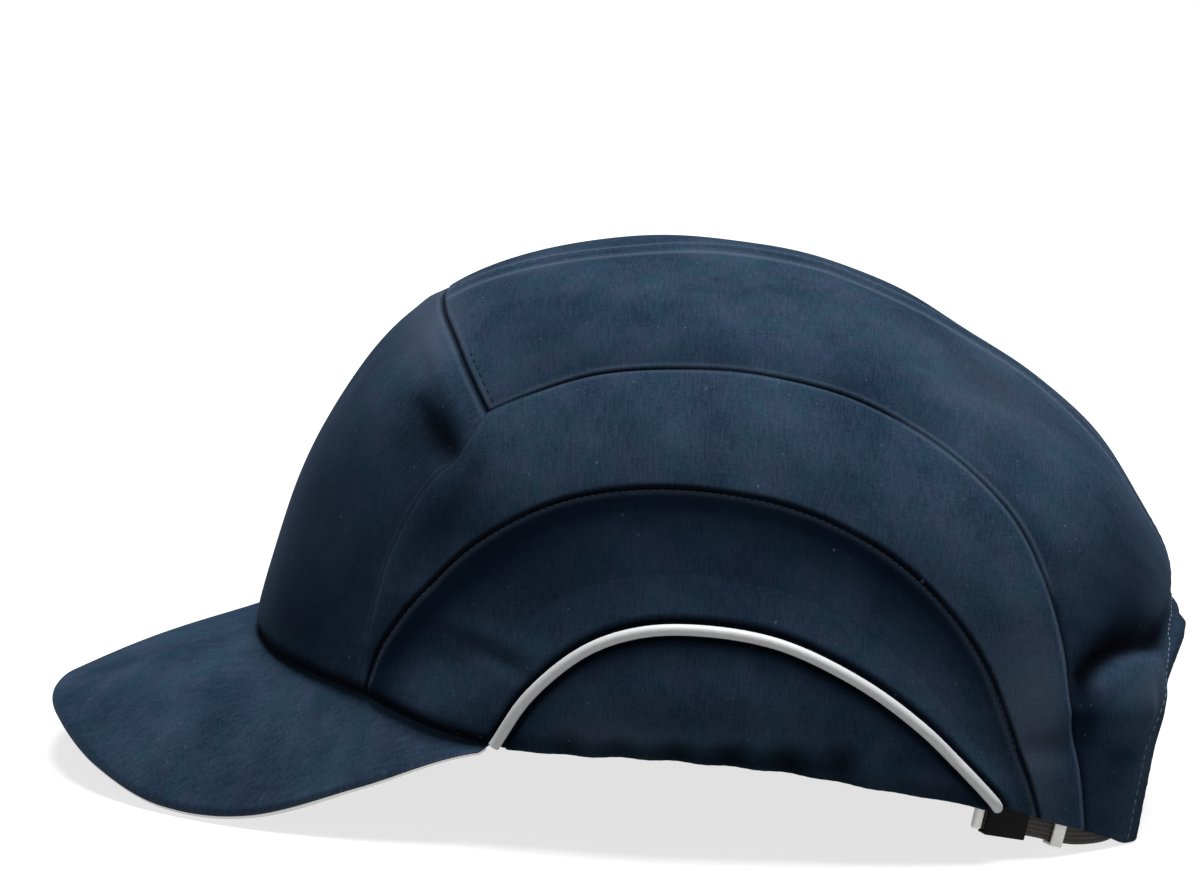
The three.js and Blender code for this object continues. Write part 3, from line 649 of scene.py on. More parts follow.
def cloth_panel(name, borders, kinds, cells, mapping, side=1, bow=0.0):
    """A sewn panel between four seam lines, each with its kind of border. bow is how far its middle
    stands out, or sinks in, between the first two."""
    u, v = panel_places(borders, cells)
    p = fill_borders(borders, u, v)
    normal = crown_normal(p)
    gaps = [distance_to(line, p) for line in borders]
    sewn = [list(border_parts(kinds[k], u if k < 2 else v)) for k in range(4)]
    inward = np.zeros_like(p)
    lap = np.zeros_like(p)
    for k in range(4):
        step = border_step(p, k)
        for settings, weight in sewn[k]:
            inward += step * (settings["back"] * weight * np.exp(-gaps[k] / BACK_FADE))[..., None]
            fade = (settings["lap"] * weight * np.exp(-gaps[k] / LAP_FADE))[..., None]
            lap -= fade * (step + LAP_INWARD * normal)
    base = p + inward
    relief = cloth_relief(base, side)
    share = gaps[0] / (gaps[0] + gaps[1] + 1e-6)
    ends = (1 - np.exp(-(gaps[2] / BOW_EASE) ** 2)) * (1 - 0.7 * np.exp(-(gaps[3] / BOW_EASE) ** 2))
    puff = PUFF * np.prod([1 - np.exp(-gap / PUFF_REACH) for gap in gaps], axis=0)
    lift = puff + bow * np.sin(math.pi * share ** SKEW) * ends
    # Painted shade along each seam, and a painted highlight, partly worn paler cloth, on the turned cloth
    # beside it
    seam_shade = np.zeros_like(lift)
    rubbed_highlight = np.zeros_like(lift)
    for k in range(4):
        for settings, weight in sewn[k]:
            gap = np.maximum(gaps[k] - settings["back"], 0)
            lift += weight * border_lift(settings, gap)
            reach = settings["dark_reach"]
            near = 1 - smoothstep(gap, 0.25 * reach, reach + 0.15)
            seam_shade = np.maximum(seam_shade, weight * settings["dark"] * near)
            ridge = settings["rubbed_highlight_at"] or reach + 0.5
            softness = 0.4 + 0.2 * settings["rubbed_highlight_at"]
            at_ridge = np.exp(-((gap - ridge) / softness) ** 2)
            rubbed_highlight = np.maximum(rubbed_highlight, weight * settings["rubbed_highlight"] * at_ridge)
    outer = base + normal * (relief + lift)[..., None]
    inner = base + normal * (relief + np.minimum(lift, 0) * LINING_SHARE - WALL)[..., None] + lap
    flat = outer[..., 2] <= 0
    outer[flat, 2] = 0
    inner[flat, 2] = 0
    # Painted shade and painted light, from the places and panels above
    even, at_border, reach = PANEL_SHADE.get(name.split("_")[0], (0, 0, 1))
    painted_shade = soft_places(left_half(p), SHADE_AND_LIGHT_PLACES) + even + at_border * np.exp(-(gaps[0] / reach) ** 2)
    marks = {
        "hollow_shade": np.clip((-relief - HOLLOW_SHADE_FROM) / HOLLOW_SHADE_DEPTH, 0, 1), "seam_shade": seam_shade, "rubbed_highlight": rubbed_highlight,
        "painted_shade": np.clip(painted_shade, 0, SHADE_PAINT_LIMIT), "painted_light": np.clip(-painted_shade, 0, SHADE_PAINT_LIMIT),
    }
    piece = wall_from_grids(name, to_side(outer, side), to_side(inner, side), marks=marks)
    cloth_uv(piece, mapping)
    return piece


LEG_SHARE = 9 / 29        # the front leg's share of the outer arch
CENTRE_SHARE = 14 / 20    # the centre seam's share of the line from the front seam to the rim
lines = {name: seam(name) for name in SEAMS}
across_front = join((lines["front"].mirror(), 0.5), (lines["front"].reverse(), 0.5))
across_brow = join((lines["brow_front"].mirror().reverse(), 0.5), (lines["brow_front"], 0.5))
middle_line = join((lines["centre"], CENTRE_SHARE), (lines["opening"], 1 - CENTRE_SHARE))
outer_arch = join((lines["leg"].reverse(), LEG_SHARE), (lines["arch"], 1 - LEG_SHARE))
nose = straight(outer_arch.at(0.0), lines["inner_arch"].at(0.0))
ear_front = straight(lines["piping"].at(0.0), lines["ear_rim"].at(0.0))
ear_rear = straight(lines["piping"].at(1.0), lines["ear_rim"].at(1.0))

ARCH_FADES = 0.47         # where the groove of the outer arch softens, going back
REAR_LEG = 0.72           # where its rear leg begins, whose edge lies on the crown's

# The panels of each half: their four borders, the two long ones first and then the front and rear
# one, the kind of each, with the places where it changes, the cells of the grid, and the bow
PANELS = {
    "crown_panel": {
        "borders": (lines["arch"], middle_line, lines["front"], lines["rear_rim"]),
        "kinds": (
            (("fine", ARCH_FADES), ("faint", REAR_LEG), ("lapped under", 1)),
            (("double", CENTRE_SHARE), ("turned hem", 1)),
            "open", "edge",
        ),
        "cells": (170, 84), "bow": 0.0,
    },
    "arch_panel": {
        "borders": (outer_arch, lines["inner_arch"], nose, lines["arch_rim"].reverse()),
        "kinds": (
            (
                ("hidden", LEG_SHARE + 0.03), ("fine", LEG_SHARE + ARCH_FADES * (1 - LEG_SHARE)),
                ("faint", LEG_SHARE + REAR_LEG * (1 - LEG_SHARE)), ("lapped over", 1),
            ),
            "arch edge", "brow", "edge",
        ),
        "cells": (210, 40), "bow": 0.6,
    },
    "side_panel": {
        "borders": (lines["inner_arch"], lines["piping"], lines["brow_side"], lines["side_rim"].reverse()),
        "kinds": ("under", "piped", "brow", "edge"), "cells": (210, 44), "bow": -4.0,
    },
    "ear_panel": {
        "borders": (lines["piping"], lines["ear_rim"], ear_front, ear_rear),
        "kinds": ("piped", "elastic hem", "fine", "fine"), "cells": (180, 38), "bow": 0.0,
    },
}
pieces = {}
pieces["front_panel"] = cloth_panel(
    "front_panel_cloth", (across_front, across_brow, lines["leg"].mirror(), lines["leg"]),
    ("open", "brow", "hidden", "hidden"), (120, 84), "front",
)
for panel, facts in PANELS.items():
    for word, side in HALVES:
        name = f"{panel}_{word}"
        pieces[name] = cloth_panel(name + "_cloth", mapping="flank", side=side, **facts)


# Stitches

def one_stitch():
    """The places and faces of one unit stitch, a small rounded bar along X."""
    deselect()
    bpy.ops.mesh.primitive_uv_sphere_add(segments=6, ring_count=5, radius=1)
    ball = bpy.context.object
    co = np.array([vertex.co for vertex in ball.data.vertices])
    faces = [list(face.vertices) for face in ball.data.polygons]
    bpy.data.objects.remove(ball)
    return np.stack([co[:, 2], co[:, 0], co[:, 1]], -1), faces


STITCH_SHAPE, STITCH_FACES = one_stitch()
STITCH_SUNK = 0.1

# Rows of stitches: the panel and the seam line that each follows, how far in from the line it runs,
# which part of the line it spans, and the pitch, length and radius of its stitches
STITCH_ROWS = {
    "inner_arch": ("side_panel", "inner_arch", 1.3, (0.02, 0.98), 1.75, 1.45, 0.17),
    "centre": ("crown_panel", "centre", 4.0, (0.02, 0.97), 2.4, 2.0, 0.18),
    "front_seam": ("crown_panel", "front", 2.3, (0.04, 0.32), 2.3, 1.6, 0.2),
    "opening_hem": ("crown_panel", "opening", 3.9, (0.02, 0.98), 1.9, 1.5, 0.2),
}


def stitch_row(name, cloth, side, line, distance, span, pitch, length, radius):
    """A row of stitches on a panel's outer face, at a distance from one of its seam lines."""
    count = int(line.length * (span[1] - span[0]) / pitch)
    places = np.linspace(span[0], span[1], count)
    p = line.at(places)
    along = unit(line.at(np.minimum(places + 0.003, 1)) - line.at(np.maximum(places - 0.003, 0)))
    normal = crown_normal(p)
    away = unit(np.cross(normal, along))
    centre = to_side(read_places(cloth).mean(0), side)
    away *= np.where(np.sum((centre - p) * away, -1, keepdims=True) < 0, -1, 1)
    p = drape(p + away * distance)
    p = to_side(p + crown_normal(p) * (cloth_relief(p, side) + 1)[:, None], side)
    co = []
    for place, run in zip(p, to_side(along, side)):
        _, hit, out, _ = cloth.closest_point_on_mesh(Vector((place + BOX_SHIFT) * MM))
        out = np.array(out)
        run = unit(run - out * np.dot(run, out))
        across = np.cross(out, run)
        middle = np.array(hit) / MM - BOX_SHIFT - out * (STITCH_SUNK - radius * 0.4)
        shape = STITCH_SHAPE * np.array([length / 2, radius, radius])
        co.append(middle + shape[:, :1] * run + shape[:, 1:2] * across + shape[:, 2:] * out)
    size = len(STITCH_SHAPE)
    faces = [[corner + k * size for corner in face] for k in range(count) for face in STITCH_FACES]
    co = np.concatenate(co)
    mesh = bpy.data.meshes.new(name)
    mesh.from_pydata(co.tolist(), [], faces)
    row = add_object(name, mesh)
    write_places(row, co)
    mesh.shade_smooth()
    return row


stitches = {}
for word, side in HALVES:
    for row, (panel, line, *settings) in STITCH_ROWS.items():
        name = f"{row}_stitches_{word}"
        stitches[name] = stitch_row(name, pieces[f"{panel}_{word}"], side, lines[line], *settings)


# Piping: how far its middle stands out from the crown, and how its rear end turns in to the seam

PIPING_PROUD = 0.4
PIPING_LOOKS_RADIUS = 1.3
PIPING_TURNED_IN = 3.0
PIPING_TURN_LENGTH = 4.5


def tube(name, points, radius):
    """A round cord along points, with its ends closed."""
    curve = bpy.data.curves.new(name, "CURVE")
    curve.dimensions = "3D"
    spline = curve.splines.new("POLY")
    spline.points.add(len(points) - 1)
    moved = (points + BOX_SHIFT) * MM
    spline.points.foreach_set("co", np.column_stack([moved, np.ones(len(moved))]).ravel())
    curve.bevel_depth = radius * MM
    curve.bevel_resolution = 4
    curve.use_fill_caps = True
    only(add_object(name, curve))
    bpy.ops.object.convert(target="MESH")
    bpy.ops.object.shade_smooth_by_angle(angle=math.radians(50))
    return bpy.context.object


piping_places = np.linspace(0, 1, 140)
route = lines["piping"].at(piping_places)
to_end = (1 - piping_places) * lines["piping"].length
turned_in = PIPING_TURNED_IN * np.clip(1 - to_end / PIPING_TURN_LENGTH, 0, 1) ** 2
route = route + crown_normal(route) * (PIPING_PROUD + cloth_relief(route) - turned_in)[:, None]
for word, side in HALVES:
    pieces[f"piping_{word}"] = tube(f"piping_{word}_cord", to_side(route, side), PIPING_LOOKS_RADIUS)


# The peak

brow = seam("brow_front", "brow_side")


def edge_height(angle):
    """Height of the top of the peak's edge, a uniform curve through the table."""
    last = len(PEAK_EDGE_HEIGHTS) - 1
    place = np.clip(angle / (math.pi / 2) * last, 0, last - 1e-9)
    base = np.floor(place).astype(int)
    f = place - base
    p0, p1, p2, p3 = (PEAK_EDGE_HEIGHTS[np.clip(base + k, 0, last)] for k in (-1, 0, 1, 2))
    v0 = (p2 - p0) / 2
    v1 = (p3 - p1) / 2
    return (2 * p1 - 2 * p2 + v0 + v1) * f ** 3 + (-3 * p1 + 3 * p2 - 2 * v0 - v1) * f ** 2 + v0 * f + p1


def peak_top(angle, v):
    """Points on top of the peak: v is 0 under the crown's wall and 1 at the free edge."""
    turn = np.abs(angle)
    seam_point = brow.at(turn / (math.pi / 2))
    root = seam_point - PEAK_TUCK * crown_normal(seam_point)
    root[..., 2] = seam_point[..., 2] - SEAM_GAP
    bend = 2 / PEAK_ROUNDNESS
    edge = np.stack([
        PEAK_HALF_WIDTH * np.sin(turn) ** bend,
        PEAK_REAR_Y - PEAK_LENGTH * np.cos(turn) ** bend,
        edge_height(turn),
    ], -1)
    p = root * (1 - v)[..., None] + edge * v[..., None]
    p[..., 2] += PEAK_SWELL * np.cos(angle) * np.sin(math.pi * v)
    p[..., 0] *= np.where(angle < 0, -1, 1)
    return p


def peak_up(angle, v):
    """The way up from the peak's top face, square to it."""
    step = 0.01
    across = peak_top(angle + step, v) - peak_top(angle - step, v)
    along = peak_top(angle, v + step) - peak_top(angle, v - step)
    up = unit(np.cross(across, along))
    return up * np.where(up[..., 2:] < 0, -1, 1)


def peak_thinning(angle):
    """The share of its thickness that the peak keeps, less towards its corners."""
    return 1 + (PEAK_THIN_TO - 1) * smoothstep(np.degrees(np.abs(angle)), PEAK_THIN_FROM, 90)


def peak_layer(name, depths, width, cells, rolls):
    """A layer of the peak between two depths, over its whole top or, with a width, only along its
    edge. rolls is how far its upper and lower face turn in at the edge."""
    angles = np.radians(np.linspace(-PEAK_LAST_ANGLE, PEAK_LAST_ANGLE, cells[0] + 1))
    whole = peak_top(angles, np.zeros_like(angles)) - peak_top(angles, np.ones_like(angles))
    reach = np.linalg.norm(whole, axis=1)
    start = 1 - np.minimum(width / reach, 0.7) if width else np.zeros_like(reach)
    share = 1 - (1 - np.linspace(0, 1, cells[1] + 1)) ** 1.8
    v = start[:, None] + (1 - start)[:, None] * share[None]
    angle = np.repeat(angles[:, None], cells[1] + 1, 1)
    top = peak_top(angle, v)
    up = peak_up(angle, v)
    thin = peak_thinning(angle)
    to_edge = (1 - v) * reach[:, None]
    roll = np.clip(1 - to_edge / PEAK_ROLL_REACH, 0, 1) ** 2
    outer = top - up * (thin * (depths[0] + rolls[0] * roll))[..., None]
    inner = top - up * (thin * (depths[1] - rolls[1] * roll))[..., None]
    outer[..., 2] = np.maximum(outer[..., 2], 0.02)
    inner[..., 2] = np.maximum(inner[..., 2], 0)
    # Painted highlight, partly worn paler cloth, along the edge
    rubbed_highlight = PEAK_RUBBED_HIGHLIGHT * np.exp(-(to_edge / PEAK_RUBBED_HIGHLIGHT_REACH) ** 2)
    piece = wall_from_grids(name, outer, inner, 50, {"rubbed_highlight": rubbed_highlight})
    cloth_uv(piece, "peak")
    return piece


trim_top = PEAK_BOARD + PEAK_TRIM_GAP
trim_depths = (trim_top, trim_top + PEAK_TRIM)
pieces["peak"] = peak_layer("peak_cloth", (0, PEAK_BOARD), 0, (220, 64), (0.8, 0.1))
pieces["peak_trim"] = peak_layer("peak_trim_edge", trim_depths, PEAK_TRIM_WIDTH, (220, 12), (0.0, 0.2))


# The strap across the nape: its lower edge on the left from the free end back inside the wall, as Y,
# Z and how far inside the crown, then straight across, as X and Y, and forward again on the right
STRAP_THICK = 1.6
STRAP_HEIGHT = 16.0
STRAP_LOOKS_HEIGHT = 15.6
STRAP_RAISE = -0.3
STRAP_LEFT = [(81, 6.8, 5.2), (87, 5.5, 5.2), (93, 4, 5), (98, 2.4, 4.6), (103, 1, 4)]
STRAP_ACROSS = [(52, 107.6), (42, 111.8), (22, 113.4), (0, 113.9)]
STRAP_ACROSS_LOW = 0.5
STRAP_RIGHT = [(102, 3, 3.3), (96, 6.5, 3), (90, 9.5, 3)]
SLIDER = {"length": 10.5, "wall": 0.9, "clear": 0.15, "bevel": 0.4}
KEEPER = {"length": 3.2, "wall": 0.8, "clear": 0.2, "bevel": 0.35}
KEEPER_PLACE = 19.5
TAB = {"length": 2.2, "thick": 2.0, "height": 16.0}
TAB_BEVEL = 0.7
SLIDER_GAP = 0.2         # from the free end of the strap


def strap_foot(y, low, inset):
    """A point of the strap's lower edge, inside the left flank."""
    foot = flank_point(y, low)
    normal = crown_normal(foot[None])[0] * np.array([1, 1, 0])
    return foot - inset * unit(normal)


strap_points = [strap_foot(*row) for row in STRAP_LEFT]
strap_points += [np.array([x, y, STRAP_ACROSS_LOW]) for x, y in STRAP_ACROSS]
strap_points += [np.array([-x, y, STRAP_ACROSS_LOW]) for x, y in STRAP_ACROSS[-2::-1]]
strap_points += [to_side(strap_foot(*row), -1) for row in STRAP_RIGHT]
strap_line = Line(curve_through(strap_points))


def strap_frames(distances):
    """Place, run, and the ways across and up, at distances in millimetres from the free end."""
    share = np.atleast_1d(distances) / strap_line.length
    held = np.clip(share, 0.0005, 0.9995)
    along = unit(strap_line.at(held + 0.0005) - strap_line.at(held - 0.0005))
    out = unit(np.stack([-along[:, 1], along[:, 0], np.zeros(len(along))], -1))
    up = np.cross(along, out)
    up *= np.where(up[:, 2:] < 0, -1, 1)
    place = strap_line.at(np.clip(share, 0, 1)) + along * (np.minimum(share, 0) * strap_line.length)[:, None]
    return place, along, out, up


def webbing_band(name):
    """A woven strap with slightly thinner edges."""
    place, _, out, up = strap_frames(np.linspace(0, strap_line.length, 241))
    across = np.linspace(0, 1, 25)
    height = (STRAP_HEIGHT - STRAP_LOOKS_HEIGHT) / 2 + STRAP_RAISE / 2 + STRAP_LOOKS_HEIGHT * across
    thick = STRAP_THICK / 2 * (1 - 0.45 * np.abs(2 * across - 1) ** 8)
    middle = place[:, None] + up[:, None] * height[None, :, None]
    half = out[:, None] * thick[None, :, None]
    band = wall_from_grids(name, middle + half, middle - half)
    co = read_places(band)
    shares = np.linspace(0, 1, 800)
    dense = strap_line.at(shares)
    nearest = np.linalg.norm(co[:, None, :2] - dense[None, :, :2], axis=2).argmin(1)
    lay_uv(band, np.stack([shares[nearest] * strap_line.length, co[:, 2] - dense[nearest, 2]], -1))
    return band


def place_on_strap(piece, distance):
    """Moves a piece made round its own middle, whose Z runs along the strap, to its place."""
    place, along, _, up = (row[0] for row in strap_frames(distance))
    middle = place + up * (STRAP_HEIGHT / 2 + STRAP_RAISE / 2)
    write_places(piece, middle + mesh_points(piece) @ np.array([np.cross(up, along), up, along]))


def plastic_block(name, size):
    """A block round its own middle, to be shaped further."""
    deselect()
    bpy.ops.mesh.primitive_cube_add(size=1)
    block = bpy.context.object
    block.name = name
    block.data.name = name
    block.scale = [s * MM for s in size]
    bpy.ops.object.transform_apply(location=True, rotation=True, scale=True)
    return block


def select_faces(piece, wanted):
    """Leaves edit mode open with the faces selected whose normal and middle suit."""
    only(piece)
    bpy.ops.object.mode_set(mode="EDIT")
    bpy.ops.mesh.select_mode(type="FACE")
    bpy.ops.mesh.select_all(action="DESELECT")
    bpy.ops.object.mode_set(mode="OBJECT")
    for face in piece.data.polygons:
        face.select = wanted(face)
    bpy.ops.object.mode_set(mode="EDIT")


def plastic_ring(name, length, wall, clear, bevel):
    """A moulded loop round the strap."""
    width = STRAP_THICK + 2 * (clear + wall)
    height = STRAP_LOOKS_HEIGHT + 2 * (clear + wall)
    ring = plastic_block(name, (width, height, length))
    select_faces(ring, lambda face: abs(face.normal.z) > 0.9)
    bpy.ops.mesh.inset(thickness=wall * MM, use_individual=True)
    bpy.ops.mesh.bridge_edge_loops()
    bpy.ops.object.mode_set(mode="OBJECT")
    corners = {"limit_method": "ANGLE", "angle_limit": math.radians(40)}
    apply_modifier(ring, "BEVEL", width=bevel * MM, segments=3, **corners)
    bpy.ops.object.shade_smooth_by_angle(angle=math.radians(35))
    return ring


pieces["rear_strap"] = webbing_band("rear_strap_webbing")
pieces["strap_slider"] = plastic_ring("strap_slider_loop", **SLIDER)
place_on_strap(pieces["strap_slider"], SLIDER["length"] / 2 + SLIDER_GAP)
pieces["strap_keeper"] = plastic_ring("strap_keeper_loop", **KEEPER)
place_on_strap(pieces["strap_keeper"], KEEPER_PLACE)
pieces["strap_tab"] = plastic_block("strap_tab_end", (TAB["thick"], TAB["height"], TAB["length"]))
apply_modifier(pieces["strap_tab"], "BEVEL", width=TAB_BEVEL * MM, segments=4)
place_on_strap(pieces["strap_tab"], -TAB["length"] / 2 - SEAM_GAP)
bpy.ops.object.shade_smooth_by_angle(angle=math.radians(35))


# Materials

class Value:
    """A shader value that can be added and multiplied as numbers are."""

    def __init__(self, shop, socket):
        self.shop = shop
        self.socket = socket

    def _math(self, operation, *inputs):
        return self.shop.node("ShaderNodeMath", {"operation": operation}, *inputs)

    def __add__(self, other):
        return self._math("ADD", self, other)

    def __radd__(self, other):
        return self._math("ADD", other, self)

    def __sub__(self, other):
        return self._math("SUBTRACT", self, other)

    def __rsub__(self, other):
        return self._math("SUBTRACT", other, self)

    def __mul__(self, other):
        return self._math("MULTIPLY", self, other)

    def __rmul__(self, other):
        return self._math("MULTIPLY", other, self)


class Shop:
    """Makes the nodes of one material."""

    def __init__(self, name):
        self.material = bpy.data.materials.new(name)
        self.material.use_nodes = True
        self.tree = self.material.node_tree
        self.shader = self.tree.nodes["Principled BSDF"]

    def node(self, kind, settings, *inputs, out=0, **named):
        made = self.tree.nodes.new(kind)
        for key, value in settings.items():
            setattr(made, key, value)
        for key, value in list(enumerate(inputs)) + list(named.items()):
            self.link(value, made.inputs[key])
        return Value(self, made.outputs[out])

    def link(self, value, socket):
        if isinstance(value, Value):
            self.tree.links.new(value.socket, socket)
        elif value is not None:
            socket.default_value = value

    def set(self, **sockets):
        for name, value in sockets.items():
            self.link(value, self.shader.inputs[name.replace("_", " ")])

    def noise(self, vector, scale, detail=2.0, roughness=0.5):
        sockets = {"Vector": vector, "Scale": scale, "Detail": detail, "Roughness": roughness}
        return self.node("ShaderNodeTexNoise", {}, **sockets)

    def place(self):
        """A point's place on the object."""
        return self.node("ShaderNodeTexCoord", {}, out=3)

    def bands(self, vector, direction, scale, distortion):
        settings = {"wave_type": "BANDS", "bands_direction": direction}
        sockets = {"Vector": vector, "Scale": scale, "Distortion": distortion}
        return self.node("ShaderNodeTexWave", settings, out=1, **sockets)

    def bump(self, height, strength, distance):
        return self.node("ShaderNodeBump", {}, Strength=strength, Distance=distance, Height=height)

    def mark(self, name):
        """A value that the mesh carries on its points."""
        return self.node("ShaderNodeAttribute", {"attribute_name": name}, out=2)

    def ramp(self, value, low, high, top=1.0):
        """0 up to the low value, and even from there to the top at the high one."""
        return self.node("ShaderNodeMapRange", {"clamp": True}, value, low, high, 0.0, top)

    def stretch(self, vector, x, y):
        return self.node("ShaderNodeMapping", {}, Vector=vector, Scale=(x, y, 1.0))

    def mix(self, factor, a, b):
        made = self.tree.nodes.new("ShaderNodeMix")
        made.data_type = "RGBA"
        for value, index in ((factor, 0), (a, 6), (b, 7)):
            self.link(value, made.inputs[index])
        return Value(self, made.outputs[2])


def twill(name):
    """Brushed cotton twill: fine upright ribs, soft mottling and a few specks of lint. Painted shade makes
    it darker in folds, hollows and seams, painted light makes it paler where light falls, and a painted
    highlight, partly worn paler cloth, lies where cloth turns over at a seam."""
    shop = Shop(name)
    uv = shop.node("ShaderNodeUVMap", {})
    ribs = shop.noise(shop.stretch(uv, 1.9, 0.28), 1.0, 1.0, 0.5)
    threads = shop.noise(shop.stretch(uv, 0.5, 1.7), 1.0, 2.0, 0.6)
    fuzz = shop.noise(uv, 1.6, 3.0, 0.7)
    mottle = shop.noise(uv, 0.05, 4.0, 0.6)
    shade = 0.45 * ribs + 0.15 * threads + 0.75 * fuzz + 1.0 * mottle - 0.68
    tone = shop.ramp(shade, 0.2, 0.8)
    hue = shop.ramp(shop.noise(uv, 0.11, 2.0, 0.6), 0.4, 0.6)
    light = shop.mix(hue, (0.015, 0.023, 0.0395, 1), (0.0103, 0.0232, 0.035, 1))
    cloth = shop.mix(tone, (0.0034, 0.0078, 0.016, 1), light)
    # Painted shade: darker where the mesh carries it
    cloth = shop.mix(shop.mark("painted_shade"), cloth, (0.0009, 0.0024, 0.0064, 1))
    # Painted light: paler where light falls on the mesh
    painted_light = shop.mix(fuzz, (0.016, 0.022, 0.034, 1), (0.036, 0.044, 0.063, 1))
    cloth = shop.mix(shop.mark("painted_light"), cloth, painted_light)
    # Painted highlight, partly worn paler cloth, where cloth turns over at a seam
    rubbed_highlight = shop.ramp(shop.mark("rubbed_highlight") * (0.4 + 1.2 * fuzz), 0.0, 1.0, 0.6)
    cloth = shop.mix(rubbed_highlight, cloth, (0.05, 0.065, 0.09, 1))
    # Painted shade along the seams
    cloth = shop.mix(shop.ramp(shop.mark("seam_shade"), 0.0, 1.0, 0.97), cloth, (0.0006, 0.0009, 0.0016, 1))
    # Painted shade down in hollows
    cloth = shop.mix(shop.ramp(shop.mark("hollow_shade"), 0.0, 0.7, 0.85), cloth, (0.0008, 0.0011, 0.0018, 1))
    lint = shop.ramp(shop.noise(uv, 0.8, 0.0), 0.83, 0.88, 0.25)
    cloth = shop.mix(lint, cloth, (0.07, 0.085, 0.11, 1))
    height = 0.55 * ribs + 0.25 * threads + 0.5 * fuzz
    shop.set(
        Base_Color=cloth, Roughness=0.95, Normal=shop.bump(height, 0.5, 0.0003), Sheen_Weight=0.02,
        Sheen_Roughness=0.4, Sheen_Tint=(0.35, 0.55, 0.9, 1), Specular_IOR_Level=0.014,
    )
    return shop.material


def thread(name, colour, light_colour):
    """Sewing thread, with its fine strands."""
    shop = Shop(name)
    strands = shop.noise(shop.place(), 2500.0, 2.0, 0.6)
    shop.set(
        Base_Color=shop.mix(strands, colour, light_colour), Roughness=0.85,
        Specular_IOR_Level=0.08, Normal=shop.bump(strands, 0.3, 0.0001),
    )
    return shop.material


def webbing(name):
    """Ribbed webbing: the ribs run along the strap and the weft across it."""
    shop = Shop(name)
    uv = shop.node("ShaderNodeUVMap", {})
    ribs = shop.bands(uv, "Y", 0.28, 0.3)
    weft = shop.bands(uv, "X", 0.4, 0.5)
    wear = shop.noise(uv, 0.4, 3.0, 0.6)
    tone = 0.4 * ribs + 0.2 * weft + 0.4 * wear
    cloth = shop.mix(tone, (0.008, 0.0075, 0.007, 1), (0.05, 0.046, 0.042, 1))
    bump = shop.bump(0.7 * ribs + 0.3 * weft, 0.6, 0.0003)
    shop.set(Base_Color=cloth, Roughness=0.8, Normal=bump, Specular_IOR_Level=0.3)
    return shop.material


def moulded(name, colour, roughness, shine=0.4):
    """Moulded plastic with a faint grain."""
    shop = Shop(name)
    place = shop.place()
    grain = shop.noise(place, 1400.0, 2.0, 0.6)
    scuff = shop.noise(place, 180.0, 3.0, 0.6)
    paler = [min(1, c * 1.3 + 0.001) for c in colour] + [1]
    shop.set(
        Base_Color=shop.mix(scuff, [*colour, 1], paler), Roughness=roughness + 0.25 * (scuff - 0.5),
        Specular_IOR_Level=shine, Normal=shop.bump(grain, 0.25, 0.0001),
    )
    return shop.material


def smooth_cord(name, colour, light_colour):
    """Close smooth cloth, a little soiled, on the piping and on the peak's edge."""
    shop = Shop(name)
    place = shop.place()
    grain = shop.noise(place, 900.0, 2.0, 0.6)
    soil = shop.noise(place, 60.0, 2.0, 0.5)
    cloth = shop.mix(0.6 * grain + 0.4 * soil, colour, light_colour)
    shop.set(Base_Color=cloth, Roughness=0.6, Normal=shop.bump(grain, 0.2, 0.0002), Sheen_Weight=0.1)
    return shop.material


navy = twill("navy_twill")
peak_navy = twill("peak_twill")
pale_cord = smooth_cord("piping_grey", (0.18, 0.184, 0.19, 1), (0.26, 0.265, 0.272, 1))
pale_edge = smooth_cord("edge_grey", (0.4, 0.4, 0.39, 1), (0.52, 0.52, 0.51, 1))
pale_thread = thread("pale_navy_thread", (0.024, 0.031, 0.043, 1), (0.075, 0.085, 0.1, 1))
navy_thread = thread("navy_thread", (0.006, 0.01, 0.018, 1), (0.022, 0.032, 0.05, 1))
dark_thread = thread("dark_thread", (0.0006, 0.001, 0.002, 1), (0.002, 0.003, 0.006, 1))
THREADS = {
    "inner_arch": navy_thread, "centre": navy_thread, "front_seam": dark_thread, "opening_hem": pale_thread,
}

# The material and the slot of each node that isn't plain navy cloth
SLOTS = {
    "piping_left": (pale_cord, "grey_piping"), "piping_right": (pale_cord, "grey_piping"),
    "peak_trim": (pale_edge, "grey_edge"), "peak": (peak_navy, "navy_cloth"),
    "rear_strap": (webbing("strap_webbing"), "grey_webbing"),
    "strap_slider": (moulded("slider_black", (0.001, 0.001, 0.0011), 0.6, 0.08), "black_plastic"),
    "strap_keeper": (moulded("keeper_white", (0.5, 0.5, 0.49), 0.45), "white_plastic"),
    "strap_tab": (moulded("tab_white", (0.5, 0.5, 0.49), 0.45), "white_plastic"),
}


def dress(piece, material, slot):
    piece.data.materials.clear()
    piece.data.materials.append(material)
    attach(piece, BODY)


for node, piece in pieces.items():
    dress(piece, *SLOTS.get(node, (navy, "navy_cloth")))
    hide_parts(node)
for name, row in stitches.items():
    dress(row, THREADS[name.split("_stitches")[0]], "navy_cloth")


# Stage, lights and camera

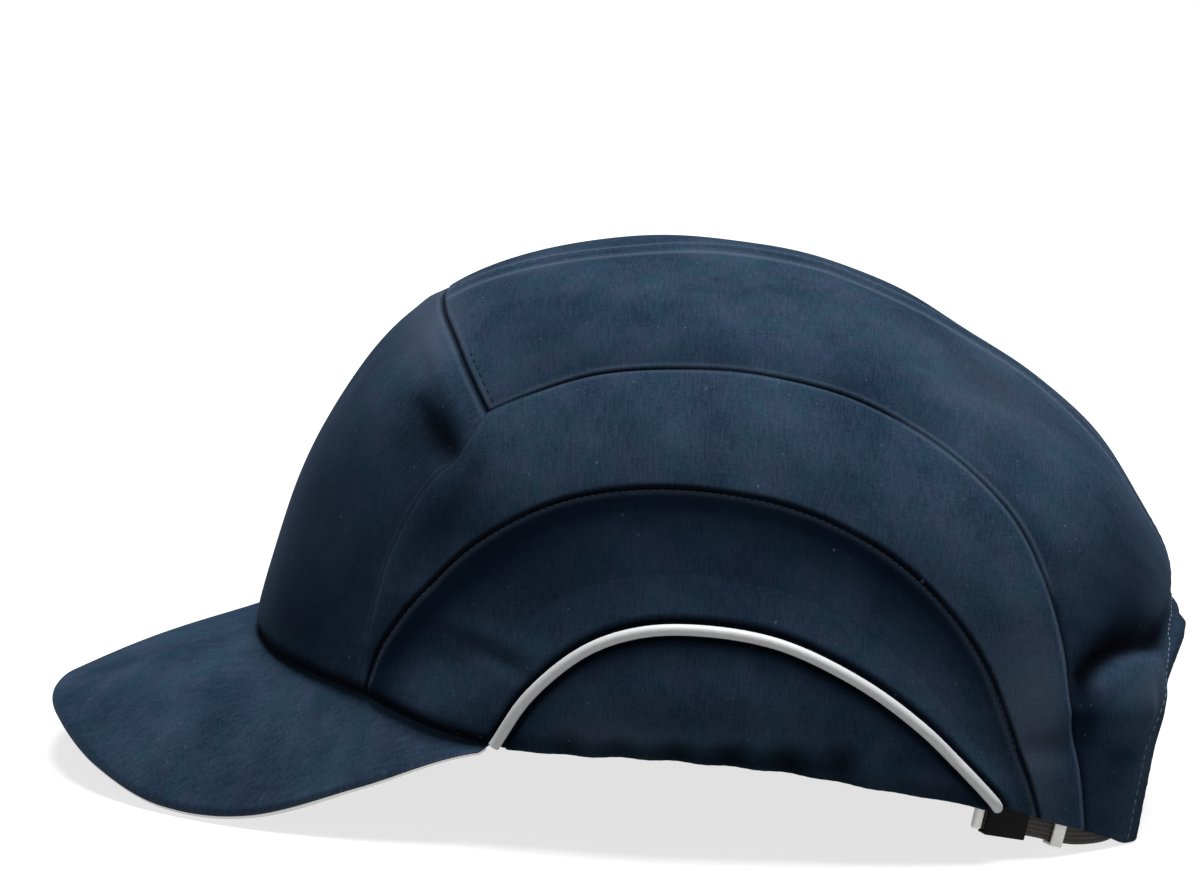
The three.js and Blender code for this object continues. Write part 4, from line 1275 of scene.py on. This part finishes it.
def pale_floor():
    deselect()
    bpy.ops.mesh.primitive_plane_add(size=40, location=(0, 0, -0.0002))
    floor = bpy.context.object
    floor.name = "floor"
    shop = Shop("floor_pale")
    shop.set(
        Base_Color=(0.15, 0.15, 0.15, 1), Roughness=0.9, Specular_IOR_Level=0.1,
        Emission_Color=(1, 1, 1, 1), Emission_Strength=0.75,
    )
    floor.data.materials.append(shop.material)


def area_light(name, place, aim, size, power):
    """A soft light, pointed at a place."""
    light = bpy.data.lights.new(name, "AREA")
    light.shape = "ELLIPSE"
    light.size, light.size_y = size
    light.energy = power
    lamp = add_object(name, light)
    lamp.location = place
    lamp.rotation_euler = (Vector(aim) - Vector(place)).to_track_quat("-Z", "Y").to_euler()


pale_floor()
world = bpy.data.worlds.new("studio")
bpy.context.scene.world = world
world.use_nodes = True
sky = world.node_tree.nodes["Background"].inputs
sky["Color"].default_value = (0.95, 0.97, 1.0, 1)
sky["Strength"].default_value = 0.18
area_light("top_softbox", (0.15, 0.28, 2.95), (0, 0, 0.08), (1.75, 1.75), 350)
area_light("side_softbox", (2.3, 1.5, 0.9), (0, 0, 0.06), (1.6, 1.2), 10)
bpy.context.scene.view_settings.view_transform = "Standard"

# The photograph's view: from the wearer's left, a little above, with a small roll
VIEW_ELEVATION = math.radians(12.0)
VIEW_ROLL = math.radians(2.2)
VIEW_AIM = Vector((0.0, -0.0054, 0.0794))
VIEW_DISTANCE = 1.9
VIEW_LENS = 245.7


def set_camera():
    back = Vector((math.cos(VIEW_ELEVATION), 0, math.sin(VIEW_ELEVATION)))
    right = Vector((0, 1, 0))
    up = back.cross(right)
    right_rolled = right * math.cos(VIEW_ROLL) + up * math.sin(VIEW_ROLL)
    up_rolled = up * math.cos(VIEW_ROLL) - right * math.sin(VIEW_ROLL)
    camera = bpy.data.cameras.new("camera")
    camera.lens = VIEW_LENS
    camera.sensor_width = 36
    camera.sensor_fit = "HORIZONTAL"
    camera.clip_end = 20
    eye = add_object("camera", camera)
    rotation = np.array([right_rolled, up_rolled, back]).T
    eye.location = VIEW_AIM + back * VIEW_DISTANCE
    eye.rotation_euler = Matrix(rotation.tolist()).to_euler()
    bpy.context.scene.camera = eye


set_camera()
